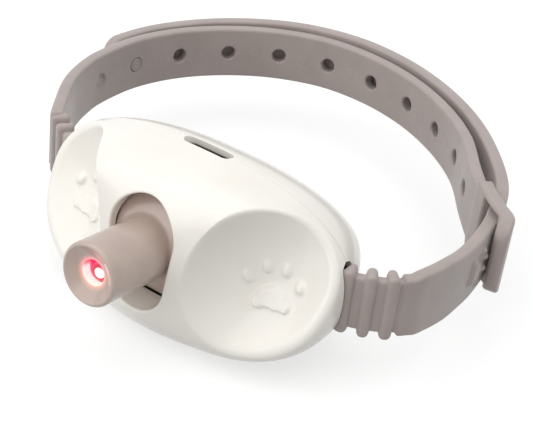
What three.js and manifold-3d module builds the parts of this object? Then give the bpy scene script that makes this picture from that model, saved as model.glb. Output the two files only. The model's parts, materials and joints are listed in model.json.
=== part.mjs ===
// Automatic cat laser toy: a pod with a swinging laser barrel on a two-strap collar.
// Millimetres, +Z up. The origin is the middle of the pod's flat rear face; the barrel points
// to -Y, +X is to the right seen from the front, and the collar loop lies behind the pod in +Y.
import * as THREE from 'three';
import { mergeVertices } from 'three/addons/utils/BufferGeometryUtils.js';
import Module from 'manifold-3d';

const wasm = await Module();
wasm.setup();

// Driving dimensions of the pod casing
const podHalfWidth = 27.4;
const podHalfHeight = 14.1;
const podFrontDepth = 14;
const podRearDepth = 10.8;
const podWall = 1.1;
const rearEdgeRound = 0.8;
const seamGap = 0.2;
const bridgeBulge = 2.2;
const bridgeBulgeHalfWidth = 9;
const bridgeBulgeCentreZ = -2.5;

// Powers of the pod's rounded outline, and how far the rear face is drawn in
const frontOutlinePower = 3.1;
const seamOutlinePower = 2.4;
const frontWidthPower = 3;
const frontHeightPower = 4.6;
const rearTaperPower = 1.25;
const rearWidthShare = 0.8;
const rearHeightShare = 0.585;

// Scooped dimple each side of the bridge, and the paw print raised in it
const dimpleRadius = 20.2;
const dimpleHeightShare = 1.3;
const dimpleCentreX = 26.5;
const dimpleCentreY = -33.4;
const dimpleCentreZ = 1;
const pawRelief = 0.6;
const pawToeLength = 1.4;
const pawToeWidth = 1;
const pawPadRadius = 1.7;

// Slot that the barrel swings in
const slotHalfWidth = 5.3;
const slotHalfHeight = 9.4;
const slotCentreZ = 1.9;

// Swing head: barrel, curved shield behind the slot, and its pivot
const pivotY = -13;
const pivotZ = 1.15;
const restRaise = THREE.MathUtils.degToRad(5.7);
const barrelRadius = 4.87;
const barrelReach = 24.1;
const barrelNoseWall = 1.5;
const barrelNoseRound = 1.1;
const noseDishDepth = 1.7;
const barrelBoreRadius = 3.3;
const barrelInnerEnd = 6;
const apertureRadius = 1.9;
const shieldRadius = 11.5;
const shieldWall = 1;
const shieldSpread = THREE.MathUtils.degToRad(61);
const headHalfWidth = 6;
const cheekThickness = 1;
const hubRadius = 3;
const axleRadius = 1;
const axleClipRadius = 1.9;
const axleClipThickness = 0.5;

// Laser module, lens and retainer in the barrel
const laserRadius = 3;
const laserLength = 11;
const lensRadius = 1.5;
const lensThickness = 0.7;
const retainerThickness = 1.2;
const leadHoleRadius = 1;

// Gear drive
const gearModule = 0.5;
const sectorFullTeeth = 24;
const sectorTeeth = 6;
const pinionTeeth = 10;
const gearThickness = 0.8;
const gearBacklash = 0.3;
const toothTipShare = 0.36;
const toothRootShare = 1.15;
const pinionDrop = 8.6;
const shaftRadius = 0.5;
const motorRadius = 3;
const motorLength = 7.7;
const motorBoreDepth = 2;

// Frame that carries the head and the motor
const frameSideThickness = 1;
const frameSideHalfHeight = 3.2;
const frameNose = 2.4;
const framePlateThickness = 0.8;
const frameFloorHalfHeight = 4.5;
const framePlateDrop = 7.2;
const motorEarReach = 2.4;
const cradleLength = 5;
const cradleBelow = 3.3;
const cradleAbove = 1.1;

// Clearances
const fitGap = 0.3;
const seatGap = 0.1;

// Battery, board and what is on it
const batteryWidth = 11.6;
const batteryMargin = 6.6;
const batteryThickness = 4;
const padThickness = 0.6;
const padInset = 0.8;
const boardThickness = 0.8;
const boardLeft = 16.2;
const boardRight = 5.8;
const boardMargin = 5.6;
const boardStripMargin = 2.8;
const boardStripHeight = 4.1;
const socketWidth = 9.2;
const socketThickness = 2.7;
const socketLength = 6.6;
const socketWall = 0.3;
const socketDrop = 0.6;
const tongueWidth = 6.6;
const tongueThickness = 0.7;
const tongueLength = 4.8;
const chargeSlotMargin = 0.15;
const chipSize = 4;
const smallChipSize = 2.4;
const chipThickness = 0.8;
const ledSize = 1.2;
const ledThickness = 0.6;
const postRadius = 1.2;
const postInset = 1.9;

// Power button on the underside and the switch that it presses
const buttonX = -12.5;
const buttonY = -7.8;
const buttonRadius = 2;
const buttonStandOut = 0.8;
const buttonFlangeRadius = 2.7;
const buttonFlangeThickness = 0.5;
const buttonTravel = 0.4;
const switchWidth = 4.6;
const switchDepth = 1.5;
const switchHeight = 2.8;

// Cover screws
const screwInset = 8.4;
const screwRadius = 0.8;
const screwLength = 6.8;
const screwHeadRadius = 1.5;
const screwHeadThickness = 1.2;
const screwSink = 5;
const screwRecessDepth = 0.6;
const screwRecessRadius = 0.7;
const bossRadius = 2.45;

// Straps: width, thickness, ribs, holes, keeper and peg
const strapHalfWidth = 5;
const strapThickness = 2.2;
const strapCornerRadius = 0.9;
const neckHalfWidth = 4.65;
const neckThickness = 1.8;
const tongueHalfWidth = 3.8;
const tongueStrapThickness = 2.2;
const ribHalfWidth = 5.25;
const ribThickness = 2.6;
const ribRunLength = 1.5;
const ribPitch = 3.1;
const flangeAt = 5.4;
const stepRun = 1.4;
const holeRadius = 1.35;
const holePitch = 10.25;
const holeCount = 11;
const firstHoleAt = 37.4;
const pegHole = 1;
const pegRadius = 1.05;
const keeperHalfWidth = 6.6;
const keeperThickness = 2.4;
const keeperBar = 1.3;
const keeperOuterBar = 3.1;
const keeperLength = 14;
const tailTipLength = 4;
const tailPastPeg = 5;
const bandTightGap = 0.45;
const bandKeeperGap = 1.95;
const tailRaise = 0.8;
const tongueReach = 5.48;
const strapPinInset = 3.7;
const strapPinRadius = 0.6;
const strapPinHalfLength = 5.6;
const saddleHalfWidth = 1.2;
const saddleHeight = 1.4;
const pocketDepth = 0.9;
const loopHalfSpan = 44.9;
const loopDepth = 53.8;

// Faceting
const outlineSteps = 36;
const frontSteps = 11;
const rearSteps = 5;
const roundSteps = 24;
const dimpleSteps = 32;
const smallRoundSteps = 12;
const strapStepLength = 3.4;
const noseSteps = 4;
const keeperSteps = 4;

// How far a cutting solid runs past what it cuts
const cutPast = 3;

// Sizes that follow the pod's width and height
const strapPinX = podHalfWidth - strapPinInset;
const screwX = podHalfWidth - screwInset;
const boardHalfHeight = podHalfHeight - boardMargin;
const boardStripTop = podHalfHeight - boardStripMargin;
const boardStripBottom = boardStripTop - boardStripHeight;
const batteryHalfHeight = podHalfHeight - batteryMargin;
const framePlateTop = podHalfHeight - framePlateDrop;
const postHeightZ = boardHalfHeight - postInset;

// Materials
const material = (color, roughness, metalness) =>
  new THREE.MeshStandardMaterial({ color, roughness, metalness });
const ivoryAbs = material('#f4f3ee', 0.3, 0);
const taupeAbs = material('#b3a49c', 0.32, 0);
const taupeSilicone = material('#b2a49e', 0.6, 0);
const brass = material('#c9a35a', 0.3, 1);
const steel = material('#c3c6c9', 0.3, 1);
const blackNylon = material('#232426', 0.55, 0);
const whiteAcetal = material('#e9e6de', 0.45, 0);
const boardGreen = material('#1f5138', 0.5, 0);
const chipBlack = material('#17181a', 0.5, 0);
const foilSilver = material('#a9adb2', 0.4, 0.6);
const foamGrey = material('#8b8d90', 0.9, 0);
const redLens = material('#d23648', 0.1, 0);
const ledWhite = material('#f2e9c8', 0.3, 0);

// A closed geometry as a solid that can be joined and cut
function solidFrom(geometry) {
  const bare = geometry.clone();
  bare.deleteAttribute('normal');
  bare.deleteAttribute('uv');
  const merged = mergeVertices(bare);
  const vertProperties = new Float32Array(merged.getAttribute('position').array);
  const triVerts = new Uint32Array(merged.getIndex().array);
  return new wasm.Manifold(new wasm.Mesh({ numProp: 3, vertProperties, triVerts }));
}

// A solid back as a geometry
function geometryFrom(solid) {
  const { vertProperties, triVerts } = solid.getMesh();
  const geometry = new THREE.BufferGeometry();
  geometry.setAttribute('position', new THREE.BufferAttribute(vertProperties, 3));
  geometry.setIndex(new THREE.BufferAttribute(triVerts, 1));
  geometry.computeVertexNormals();
  return geometry;
}

function namedMesh(name, solid, finish) {
  const mesh = new THREE.Mesh(geometryFrom(solid), finish);
  mesh.name = name;
  return mesh;
}

// A block between two corners
function block([x0, y0, z0], [x1, y1, z1]) {
  const geometry = new THREE.BoxGeometry(x1 - x0, y1 - y0, z1 - z0);
  geometry.translate((x0 + x1) / 2, (y0 + y1) / 2, (z0 + z1) / 2);
  return solidFrom(geometry);
}

// A round bar from start to end along one axis, 'x', 'y' or 'z', through a centre in the other two
function bar(axis, radius, start, end, [u, v], steps = roundSteps) {
  const geometry = new THREE.CylinderGeometry(radius, radius, end - start, steps);
  const middle = (start + end) / 2;
  if (axis === 'x') {
    geometry.rotateZ(-Math.PI / 2);
    geometry.translate(middle, u, v);
  } else if (axis === 'y') {
    geometry.translate(u, middle, v);
  } else {
    geometry.rotateX(Math.PI / 2);
    geometry.translate(u, v, middle);
  }
  return solidFrom(geometry);
}

// A turned solid about the Y axis from [radius, y] points that start and end on the axis
function turnedAboutY(points, steps = roundSteps) {
  const profile = points.map(([radius, y]) => new THREE.Vector2(radius, y));
  return solidFrom(new THREE.LatheGeometry(profile, steps));
}

// A flat outline in Y and Z, given as [y, z] points, with a thickness from x0 to x1
function plateYZ(points, x0, x1) {
  const shape = new THREE.Shape(points.map(([y, z]) => new THREE.Vector2(y, z)));
  const geometry = new THREE.ExtrudeGeometry(shape, { depth: x1 - x0, bevelEnabled: false });
  const toWorld = new THREE.Matrix4().makeBasis(
    new THREE.Vector3(0, 1, 0), new THREE.Vector3(0, 0, 1), new THREE.Vector3(1, 0, 0));
  geometry.applyMatrix4(toWorld);
  geometry.translate(x0, 0, 0);
  return solidFrom(geometry);
}

// A flat outline in X and Z with a thickness from y0 to y1
function plateXZ(points, y0, y1) {
  const shape = new THREE.Shape(points.map(([x, z]) => new THREE.Vector2(x, z)));
  const geometry = new THREE.ExtrudeGeometry(shape, { depth: y1 - y0, bevelEnabled: false });
  geometry.rotateX(Math.PI / 2);
  geometry.translate(0, y1, 0);
  return solidFrom(geometry);
}

// Points of a slot outline with round ends: half width across, half length along the second axis
function slotOutline(halfWidth, halfLength, centre, steps = roundSteps) {
  const points = [];
  const straight = halfLength - halfWidth;
  for (let i = 0; i <= steps / 2; i += 1) {
    const angle = (i / (steps / 2)) * Math.PI;
    points.push([halfWidth * Math.cos(angle), centre + straight + halfWidth * Math.sin(angle)]);
  }
  for (let i = 0; i <= steps / 2; i += 1) {
    const angle = Math.PI + (i / (steps / 2)) * Math.PI;
    points.push([halfWidth * Math.cos(angle), centre - straight + halfWidth * Math.sin(angle)]);
  }
  return points;
}

// A closed skin over rings of points, each end closed by a fan from the given point
function skinOver(rings, startPoint, endPoint) {
  const count = rings[0].length;
  const positions = [...rings.flat(), startPoint, endPoint].flatMap((p) => [p.x, p.y, p.z]);
  const startIndex = rings.length * count;
  const endIndex = startIndex + 1;
  const triangles = [];
  for (let j = 0; j < count; j += 1) {
    const k = (j + 1) % count;
    triangles.push(startIndex, k, j);
    for (let i = 0; i + 1 < rings.length; i += 1) {
      const a = i * count + j;
      const b = i * count + k;
      triangles.push(a, b, b + count, a, b + count, a + count);
    }
    const last = (rings.length - 1) * count;
    triangles.push(endIndex, last + j, last + k);
  }
  const geometry = new THREE.BufferGeometry();
  geometry.setAttribute('position', new THREE.Float32BufferAttribute(positions, 3));
  geometry.setIndex(triangles);
  if (signedVolume(geometry) < 0) {
    for (let i = 0; i < triangles.length; i += 3) {
      [triangles[i], triangles[i + 1]] = [triangles[i + 1], triangles[i]];
    }
    geometry.setIndex(triangles);
  }
  return solidFrom(geometry);
}

function signedVolume(geometry) {
  const position = geometry.getAttribute('position');
  const index = geometry.getIndex().array;
  const corner = (i) => new THREE.Vector3().fromBufferAttribute(position, index[i]);
  let sum = 0;
  for (let i = 0; i < index.length; i += 3) {
    sum += corner(i).dot(corner(i + 1).cross(corner(i + 2)));
  }
  return sum;
}

// One rounded outline ring of the pod at a depth
function podRing(halfWidth, halfHeight, power, y) {
  const ring = [];
  for (let i = 0; i < outlineSteps; i += 1) {
    const angle = (i / outlineSteps) * 2 * Math.PI;
    const across = Math.cos(angle);
    const up = Math.sin(angle);
    const x = halfWidth * Math.sign(across) * Math.abs(across) ** (2 / power);
    const z = halfHeight * Math.sign(up) * Math.abs(up) ** (2 / power);
    ring.push(new THREE.Vector3(x, y, z));
  }
  return ring;
}

// How far the bridge between the dimples stands forward of the plain front at a height share
function bulgeAt(x, z) {
  const across = Math.max(0, 1 - (x / bridgeBulgeHalfWidth) ** 2);
  const up = Math.max(0, 1 - ((z - bridgeBulgeCentreZ) / podHalfHeight) ** 2);
  return bridgeBulge * across * up;
}

// The pod's form, drawn in everywhere by an inset: front from the parting plane to the nose
function frontForm(inset) {
  const depth = podFrontDepth - inset;
  const rings = [];
  for (let i = 0; i < frontSteps; i += 1) {
    const angle = (i / frontSteps) * (Math.PI / 2);
    const forward = Math.sin(angle) ** (2 / frontWidthPower);
    const widthShare = Math.cos(angle) ** (2 / frontWidthPower);
    const heightShare = (1 - forward ** frontHeightPower) ** (1 / frontHeightPower);
    const power = seamOutlinePower + (frontOutlinePower - seamOutlinePower) * forward;
    const ring = podRing((podHalfWidth - inset) * widthShare, (podHalfHeight - inset) * heightShare,
      power, -podRearDepth - seamGap / 2 - depth * forward);
    rings.push(ring.map((p) => p.setY(p.y - bulgeAt(p.x, p.z) * forward ** 2)));
  }
  const seamCentre = new THREE.Vector3(0, rings[0][0].y, 0);
  const nose = new THREE.Vector3(0, -podRearDepth - seamGap / 2 - depth - bulgeAt(0, 0), 0);
  return skinOver(rings, seamCentre, nose);
}

// Half width and half height of the rear casing at a share of the way to the rear face
function rearHalfSizes(share, inset) {
  const keep = Math.max(0, 1 - share ** rearTaperPower) ** (1 / rearTaperPower);
  return [
    (podHalfWidth - inset) * (rearWidthShare + (1 - rearWidthShare) * keep),
    (podHalfHeight - inset) * (rearHeightShare + (1 - rearHeightShare) * keep),
  ];
}

// The rear casing's form from the parting plane to the flat rear face
function rearForm(inset) {
  const rings = [];
  const front = -podRearDepth + seamGap / 2;
  const rear = -inset;
  const edgeStart = rear - rearEdgeRound;
  for (let i = 0; i <= rearSteps; i += 1) {
    const y = front + ((edgeStart - front) * i) / rearSteps;
    const [halfWidth, halfHeight] = rearHalfSizes(1 + y / podRearDepth, inset);
    rings.push(podRing(halfWidth, halfHeight, seamOutlinePower, y));
  }
  const [edgeWidth, edgeHeight] = rearHalfSizes(1 + edgeStart / podRearDepth, inset);
  rings.push(podRing(edgeWidth - rearEdgeRound, edgeHeight - rearEdgeRound, seamOutlinePower, rear));
  return skinOver(rings, new THREE.Vector3(0, front, 0), new THREE.Vector3(0, rear, 0));
}

// Both dimple scoops, as tall ellipsoids, or the same grown by a wall
function dimples(wall) {
  const ball = (side) => {
    const geometry = new THREE.SphereGeometry(dimpleRadius + wall, dimpleSteps, dimpleSteps / 2);
    geometry.rotateX(Math.PI / 2);
    geometry.scale(1, 1, dimpleHeightShare);
    geometry.translate(side * dimpleCentreX, dimpleCentreY, dimpleCentreZ);
    return solidFrom(geometry);
  };
  return ball(1).add(ball(-1));
}

// Where the paw's toes and pad lie in the dimple: across and up, as shares of the dimple's radius
const pawToeShares = [[0.695, 0.043, 0.3], [0.803, 0.14, 0.1], [0.93, 0.134, -0.1], [1.033, 0.014, -0.3]];
const pawPadShares = [[0.772, -0.144], [0.837, -0.089], [0.94, -0.183], [0.856, -0.163]];

// Raised toes and pad of one paw print, as soft lenses on the dimple's surface
function pawPrint(side) {
  const centre = new THREE.Vector3(side * dimpleCentreX, dimpleCentreY, dimpleCentreZ);
  const lump = (across, up, lean, halfWide, halfTall) => {
    const geometry = new THREE.SphereGeometry(1, smallRoundSteps, smallRoundSteps / 2);
    geometry.rotateX(Math.PI / 2);
    geometry.scale(halfWide, pawRelief, halfTall);
    geometry.rotateY(side * lean);
    const x = side * across * dimpleRadius;
    const z = up * dimpleRadius;
    const dx = x - centre.x;
    const dz = (z - centre.z) / dimpleHeightShare;
    const y = centre.y + Math.sqrt(dimpleRadius ** 2 - dx ** 2 - dz ** 2);
    geometry.rotateZ(Math.atan2(-dx, y - centre.y));
    geometry.translate(x, y, z);
    return solidFrom(geometry);
  };
  const toes = pawToeShares.map(([across, up, lean]) => lump(across, up, lean, pawToeWidth, pawToeLength));
  const pads = pawPadShares.map(([across, up]) => lump(across, up, 0, pawPadRadius, pawPadRadius));
  return [...toes, ...pads].reduce((sum, next) => sum.add(next));
}

const innerFloorY = -podWall;
const boardFrontY = -podRearDepth + socketThickness / 2 + seatGap;
const boardBackY = boardFrontY + boardThickness;

// The opening for the charging socket, cut half in each casing
function chargeCut() {
  const halfLong = socketWidth / 2 - socketWall + chargeSlotMargin;
  const halfThick = socketThickness / 2 - socketWall + chargeSlotMargin;
  const points = slotOutline(halfThick, halfLong, 0, smallRoundSteps * 2);
  const outline = points.map(([across, along]) => [along, across - podRearDepth]);
  const shape = new THREE.Shape(outline.map(([x, y]) => new THREE.Vector2(x, y)));
  const depth = podHalfHeight;
  const geometry = new THREE.ExtrudeGeometry(shape, { depth, bevelEnabled: false });
  geometry.translate(0, 0, podHalfHeight / 2);
  return solidFrom(geometry);
}

// The two openings at a pod end: the pocket for the strap's root flange and the tongue's window
function strapCut(side) {
  const tongueHalf = tongueStrapThickness / 2 + fitGap;
  const pocketHalf = ribThickness / 2 + fitGap;
  const spanX = (near, far) => (side > 0 ? [near, far] : [-far, -near]);
  const [t0, t1] = spanX(podHalfWidth - podWall - cutPast, podHalfWidth + cutPast);
  const [p0, p1] = spanX(podHalfWidth - pocketDepth, podHalfWidth + cutPast);
  const tongueZ = tongueHalfWidth + fitGap;
  const pocketZ = ribHalfWidth + fitGap;
  const window = block([t0, -podRearDepth - tongueHalf, -tongueZ], [t1, -podRearDepth + tongueHalf, tongueZ]);
  const pocket = block([p0, -podRearDepth - pocketHalf - seatGap, -pocketZ],
    [p1, -podRearDepth + pocketHalf + seatGap, pocketZ]);
  return window.add(pocket);
}

// Front casing: thin shell with the bridge, dimples, paw prints, barrel slot, screw bosses and pin stops
function frontShell() {
  const outside = frontForm(0).subtract(dimples(0));
  const inside = frontForm(podWall).subtract(dimples(podWall));
  let shell = outside.subtract(inside);
  const seamY = -podRearDepth - seamGap / 2;
  const stopFront = -podRearDepth - strapPinRadius - fitGap;
  for (const side of [1, -1]) {
    const boss = bar('y', bossRadius, seamY - podFrontDepth / 2, seamY, [side * screwX, 0]);
    shell = shell.add(boss.intersect(outside));
    for (const end of [1, -1]) {
      const middle = end * (strapPinHalfLength - saddleHeight / 2);
      const stop = block(
        [side * strapPinX - saddleHalfWidth, stopFront - podWall, middle - saddleHeight / 2],
        [side * strapPinX + saddleHalfWidth, stopFront, middle + saddleHeight / 2]);
      const reach = stop.add(block(
        [side * strapPinX - saddleHalfWidth, stopFront - podWall * 2, middle - saddleHeight / 2],
        [side * strapPinX + saddleHalfWidth, stopFront - podWall / 2, middle + saddleHeight / 2]));
      shell = shell.add(reach.intersect(outside));
    }
    shell = shell.add(pawPrint(side));
  }
  for (const side of [1, -1]) {
    const tip = -screwSink - screwHeadThickness - screwLength;
    const pilot = bar('y', screwRadius + fitGap, tip - fitGap, seamY + cutPast, [side * screwX, 0],
      smallRoundSteps);
    shell = shell.subtract(pilot).subtract(strapCut(side));
  }
  const slotPoints = slotOutline(slotHalfWidth, slotHalfHeight, slotCentreZ);
  const slotCut = plateXZ(slotPoints, -podRearDepth - podFrontDepth - bridgeBulge - cutPast,
    pivotY - shieldRadius / 2);
  return shell.subtract(slotCut).subtract(chargeCut());
}

// Rear casing: tapered shell with a flat rear face, screw bosses, pin saddles and board posts
function rearCover() {
  const outside = rearForm(0);
  let shell = outside.subtract(rearForm(podWall));
  const seamY = -podRearDepth + seamGap / 2;
  for (const side of [1, -1]) {
    const boss = bar('y', bossRadius, seamY, innerFloorY, [side * screwX, 0]);
    shell = shell.add(boss.intersect(outside));
    for (const end of [1, -1]) {
      const middle = end * (strapPinHalfLength - saddleHeight / 2);
      const saddle = block(
        [side * strapPinX - saddleHalfWidth, seamY, middle - saddleHeight / 2],
        [side * strapPinX + saddleHalfWidth, innerFloorY, middle + saddleHeight / 2]);
      shell = shell.add(saddle.intersect(outside));
    }
  }
  for (const end of [1, -1]) {
    const post = bar('y', postRadius, boardBackY + seatGap, innerFloorY, [buttonX, end * postHeightZ],
      smallRoundSteps);
    shell = shell.add(post.intersect(outside));
  }
  for (const side of [1, -1]) {
    const hole = bar('y', screwRadius + fitGap, seamY - cutPast, cutPast, [side * screwX, 0],
      smallRoundSteps);
    const sinkFloor = -screwSink - screwHeadThickness;
    const sink = bar('y', screwHeadRadius + fitGap, sinkFloor, cutPast, [side * screwX, 0]);
    const grooveHalf = strapPinHalfLength + fitGap;
    const groove = bar('z', strapPinRadius + fitGap, -grooveHalf, grooveHalf,
      [side * strapPinX, -podRearDepth], smallRoundSteps);
    shell = shell.subtract(hole).subtract(sink).subtract(groove).subtract(strapCut(side));
  }
  const buttonHole = bar('z', buttonRadius + fitGap, -podHalfHeight - cutPast, -podHalfHeight / 2,
    [buttonX, buttonY], roundSteps);
  return shell.subtract(buttonHole).subtract(chargeCut());
}

// Pan-head screw along Y, head towards the rear face, with a round drive recess
function coverScrew(side) {
  const headBack = -screwSink;
  const headFront = headBack - screwHeadThickness;
  const tip = headFront - screwLength;
  return turnedAboutY([
    [0, tip], [screwRadius - fitGap, tip], [screwRadius, tip + screwRadius], [screwRadius, headFront],
    [screwHeadRadius, headFront], [screwHeadRadius, headBack - screwHeadThickness / 3],
    [screwHeadRadius - screwHeadThickness / 3, headBack], [screwRecessRadius, headBack],
    [screwRecessRadius, headBack - screwRecessDepth], [0, headBack - screwRecessDepth],
  ], smallRoundSteps).translate([side * screwX, 0, 0]);
}

// Swing head about its own pivot: barrel along -Y, curved shield, two cheeks with axle holes
function swingHead() {
  const innerX = headHalfWidth - cheekThickness;
  const arc = (radius, from, to) => {
    const points = [];
    for (let i = 0; i <= roundSteps; i += 1) {
      const angle = from + ((to - from) * i) / roundSteps;
      points.push([-radius * Math.cos(angle), radius * Math.sin(angle)]);
    }
    return points;
  };
  const sector = [
    ...arc(shieldRadius, -shieldSpread, shieldSpread),
    ...arc(shieldRadius - shieldWall, shieldSpread, -shieldSpread),
  ];
  let head = plateYZ(sector, -headHalfWidth, headHalfWidth);
  const slice = [...arc(shieldRadius - shieldWall / 2, -shieldSpread, shieldSpread), [0, 0]];
  for (const side of [1, -1]) {
    const near = side > 0 ? innerX : -headHalfWidth;
    const cheek = plateYZ(slice, near, near + cheekThickness);
    head = head.add(cheek).add(bar('x', hubRadius, near, near + cheekThickness, [0, 0]));
  }
  const noseY = -barrelReach;
  const noseArc = [];
  for (let i = 0; i <= noseSteps; i += 1) {
    const angle = (i / noseSteps) * (Math.PI / 2);
    noseArc.push([
      barrelRadius - barrelNoseRound + barrelNoseRound * Math.sin(angle),
      noseY + barrelNoseRound - barrelNoseRound * Math.cos(angle),
    ]);
  }
  const dishY = noseY + noseDishDepth;
  const barrel = turnedAboutY([
    [0, dishY], [apertureRadius, dishY], [(apertureRadius + noseArc[0][0]) / 2, dishY - noseDishDepth / 3],
    ...noseArc, [barrelRadius, -barrelInnerEnd], [0, -barrelInnerEnd],
  ]);
  const bore = bar('y', barrelBoreRadius, dishY + barrelNoseWall, -barrelInnerEnd + cutPast, [0, 0]);
  const aperture = bar('y', apertureRadius, noseY - cutPast, dishY + barrelNoseWall + cutPast, [0, 0]);
  const axleHole = bar('x', axleRadius + fitGap, -headHalfWidth - cutPast, headHalfWidth + cutPast, [0, 0]);
  return head.add(barrel).subtract(bore).subtract(aperture).subtract(axleHole);
}

const laserFront = -barrelReach + noseDishDepth + barrelNoseWall + fitGap;
const laserBack = laserFront + laserLength;

// Brass laser module with a lens seat in its front
function laserModule() {
  return turnedAboutY([
    [0, laserFront + lensThickness], [lensRadius, laserFront + lensThickness],
    [lensRadius + fitGap, laserFront], [laserRadius, laserFront], [laserRadius, laserBack], [0, laserBack],
  ]);
}

function laserLens() {
  const back = laserFront + lensThickness - seatGap;
  const rim = back - lensThickness / 2;
  return turnedAboutY([
    [0, back - lensThickness * 1.5], [lensRadius / 2, back - lensThickness * 1.3],
    [lensRadius - seatGap, rim], [lensRadius - seatGap, back], [0, back],
  ]);
}

function laserRetainer() {
  const front = laserBack + seatGap;
  return bar('y', laserRadius, front, front + retainerThickness, [0, 0])
    .subtract(bar('y', leadHoleRadius, front - cutPast, front + cutPast, [0, 0], smallRoundSteps));
}

const sectorPitchRadius = (gearModule * sectorFullTeeth) / 2;
const pinionPitchRadius = (gearModule * pinionTeeth) / 2;
const gearCentres = sectorPitchRadius + pinionPitchRadius + gearBacklash * (2 / 3);
const rootDrop = gearModule * 1.2;
const gearX0 = headHalfWidth + seatGap;
const gearX1 = gearX0 + gearThickness;
const pinionZ = podHalfHeight - pinionDrop;
const pinionDirection = Math.asin((pinionZ - pivotZ) / gearCentres);
const pinionY = pivotY + gearCentres * Math.cos(pinionDirection);

// One gear tooth pointing along an angle in the YZ plane, as [y, z] points from root to tip
function toothPoints(pitchRadius, angle) {
  const halfPitchWidth = (Math.PI * gearModule) / 4 - gearBacklash / 4;
  const tipRadius = pitchRadius + gearModule;
  const rootRadius = pitchRadius - rootDrop;
  const at = (radius, halfWidth) => {
    const turn = angle + halfWidth / radius;
    return [radius * Math.cos(turn), radius * Math.sin(turn)];
  };
  return [
    at(rootRadius, -halfPitchWidth * toothRootShare), at(tipRadius, -halfPitchWidth * toothTipShare),
    at(tipRadius, halfPitchWidth * toothTipShare), at(rootRadius, halfPitchWidth * toothRootShare),
  ];
}

// Toothed sector on the head's right cheek, facing back towards the pinion
function sectorGear() {
  const pitchAngle = (2 * Math.PI) / sectorFullTeeth;
  const first = pinionDirection - ((sectorTeeth - 1) / 2) * pitchAngle;
  const points = [[0, 0]];
  for (let i = 0; i < sectorTeeth; i += 1) {
    points.push(...toothPoints(sectorPitchRadius, first + i * pitchAngle));
  }
  return plateYZ(points, gearX0, gearX1)
    .add(bar('x', hubRadius, gearX0, gearX1, [0, 0]))
    .subtract(bar('x', axleRadius + fitGap, gearX0 - cutPast, gearX1 + cutPast, [0, 0]));
}

// Small pinion on the motor shaft, one tooth pointing at the sector's middle gap
function drivePinion() {
  const points = [];
  for (let i = 0; i < pinionTeeth; i += 1) {
    const angle = pinionDirection + Math.PI + (i * 2 * Math.PI) / pinionTeeth;
    points.push(...toothPoints(pinionPitchRadius, angle));
  }
  return plateYZ(points, gearX0, gearX1)
    .subtract(bar('x', shaftRadius + seatGap, gearX0 - cutPast, gearX1 + cutPast, [0, 0], smallRoundSteps));
}

const frameInnerX = gearX1 + fitGap;
const frameOuterX = frameInnerX + frameSideThickness;
const frameBackY = innerFloorY - fitGap;
const plateFrontY = frameBackY - framePlateThickness;
const motorX0 = frameOuterX + fitGap;
const motorX1 = motorX0 + motorLength;

// U-shaped frame on the rear floor: two sides with axle holes, the right one taller for the motor
function swingFrame() {
  const noseY = pivotY - frameNose;
  const low = pivotZ - frameSideHalfHeight;
  const high = pivotZ + frameSideHalfHeight;
  const plain = [[noseY, low], [frameBackY, low], [frameBackY, high], [noseY, high]];
  const earTop = pinionZ + motorEarReach;
  const withEar = [
    [noseY, low], [frameBackY, low], [frameBackY, earTop], [pinionY - motorRadius, earTop],
    [pinionY - motorRadius, high], [noseY, high],
  ];
  const plate = block(
    [-frameOuterX, plateFrontY, -frameFloorHalfHeight], [frameOuterX, frameBackY, framePlateTop]);
  const axleEnd = frameOuterX + cutPast;
  return plateYZ(plain, -frameOuterX, -frameInnerX)
    .add(plateYZ(withEar, frameInnerX, frameOuterX))
    .add(plate)
    .subtract(bar('x', axleRadius + fitGap, -axleEnd, axleEnd, [pivotY, pivotZ]))
    .subtract(bar('x', shaftRadius * 2, frameInnerX - cutPast / 3, frameOuterX + cutPast, [pinionY, pinionZ],
      smallRoundSteps));
}

const axleHalfLength = frameOuterX + axleClipThickness + fitGap * 2;

function axleClip(side) {
  const near = side > 0 ? frameOuterX + seatGap : -frameOuterX - seatGap - axleClipThickness;
  return bar('x', axleClipRadius, near, near + axleClipThickness, [pivotY, pivotZ])
    .subtract(bar('x', axleRadius + seatGap, near - cutPast, near + cutPast, [pivotY, pivotZ]));
}

// Gear motor body with the shaft's bearing bore in its face
function gearMotor() {
  return bar('x', motorRadius, motorX0, motorX1, [pinionY, pinionZ])
    .subtract(bar('x', shaftRadius + fitGap, motorX0 - cutPast, motorX0 + motorBoreDepth, [pinionY, pinionZ],
      smallRoundSteps));
}

// Cradle behind the motor, cut to the motor's round back
function motorCradle() {
  const middle = (motorX0 + motorX1) / 2;
  const low = middle - cradleLength / 2;
  const high = low + cradleLength;
  return block([low, pinionY, pinionZ - cradleBelow], [high, frameBackY, pinionZ + cradleAbove])
    .subtract(bar('x', motorRadius + fitGap, low - cutPast, high + cutPast, [pinionY, pinionZ]));
}

const padBack = plateFrontY - seatGap;
const batteryBack = padBack - padThickness - seatGap;

// L-shaped main board: a wide part in the left bay and a strip behind the charging socket
function mainBoard() {
  const bayRight = -frameOuterX - fitGap;
  const outline = [
    [-boardLeft, -boardHalfHeight], [bayRight, -boardHalfHeight], [bayRight, boardStripBottom],
    [boardRight, boardStripBottom], [boardRight, boardStripTop], [bayRight, boardStripTop],
    [-boardLeft, boardHalfHeight],
  ];
  return plateXZ(outline, boardFrontY, boardBackY);
}

const socketTop = podHalfHeight - podWall - socketDrop;
const socketBottom = socketTop - socketLength;

function obroundBarZ(halfWide, halfThick, z0, z1) {
  const outline = slotOutline(halfThick, halfWide, 0, smallRoundSteps)
    .map(([across, along]) => new THREE.Vector2(along, across - podRearDepth));
  const shape = new THREE.Shape(outline);
  const geometry = new THREE.ExtrudeGeometry(shape, { depth: z1 - z0, bevelEnabled: false });
  geometry.translate(0, 0, z0);
  return solidFrom(geometry);
}

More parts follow.
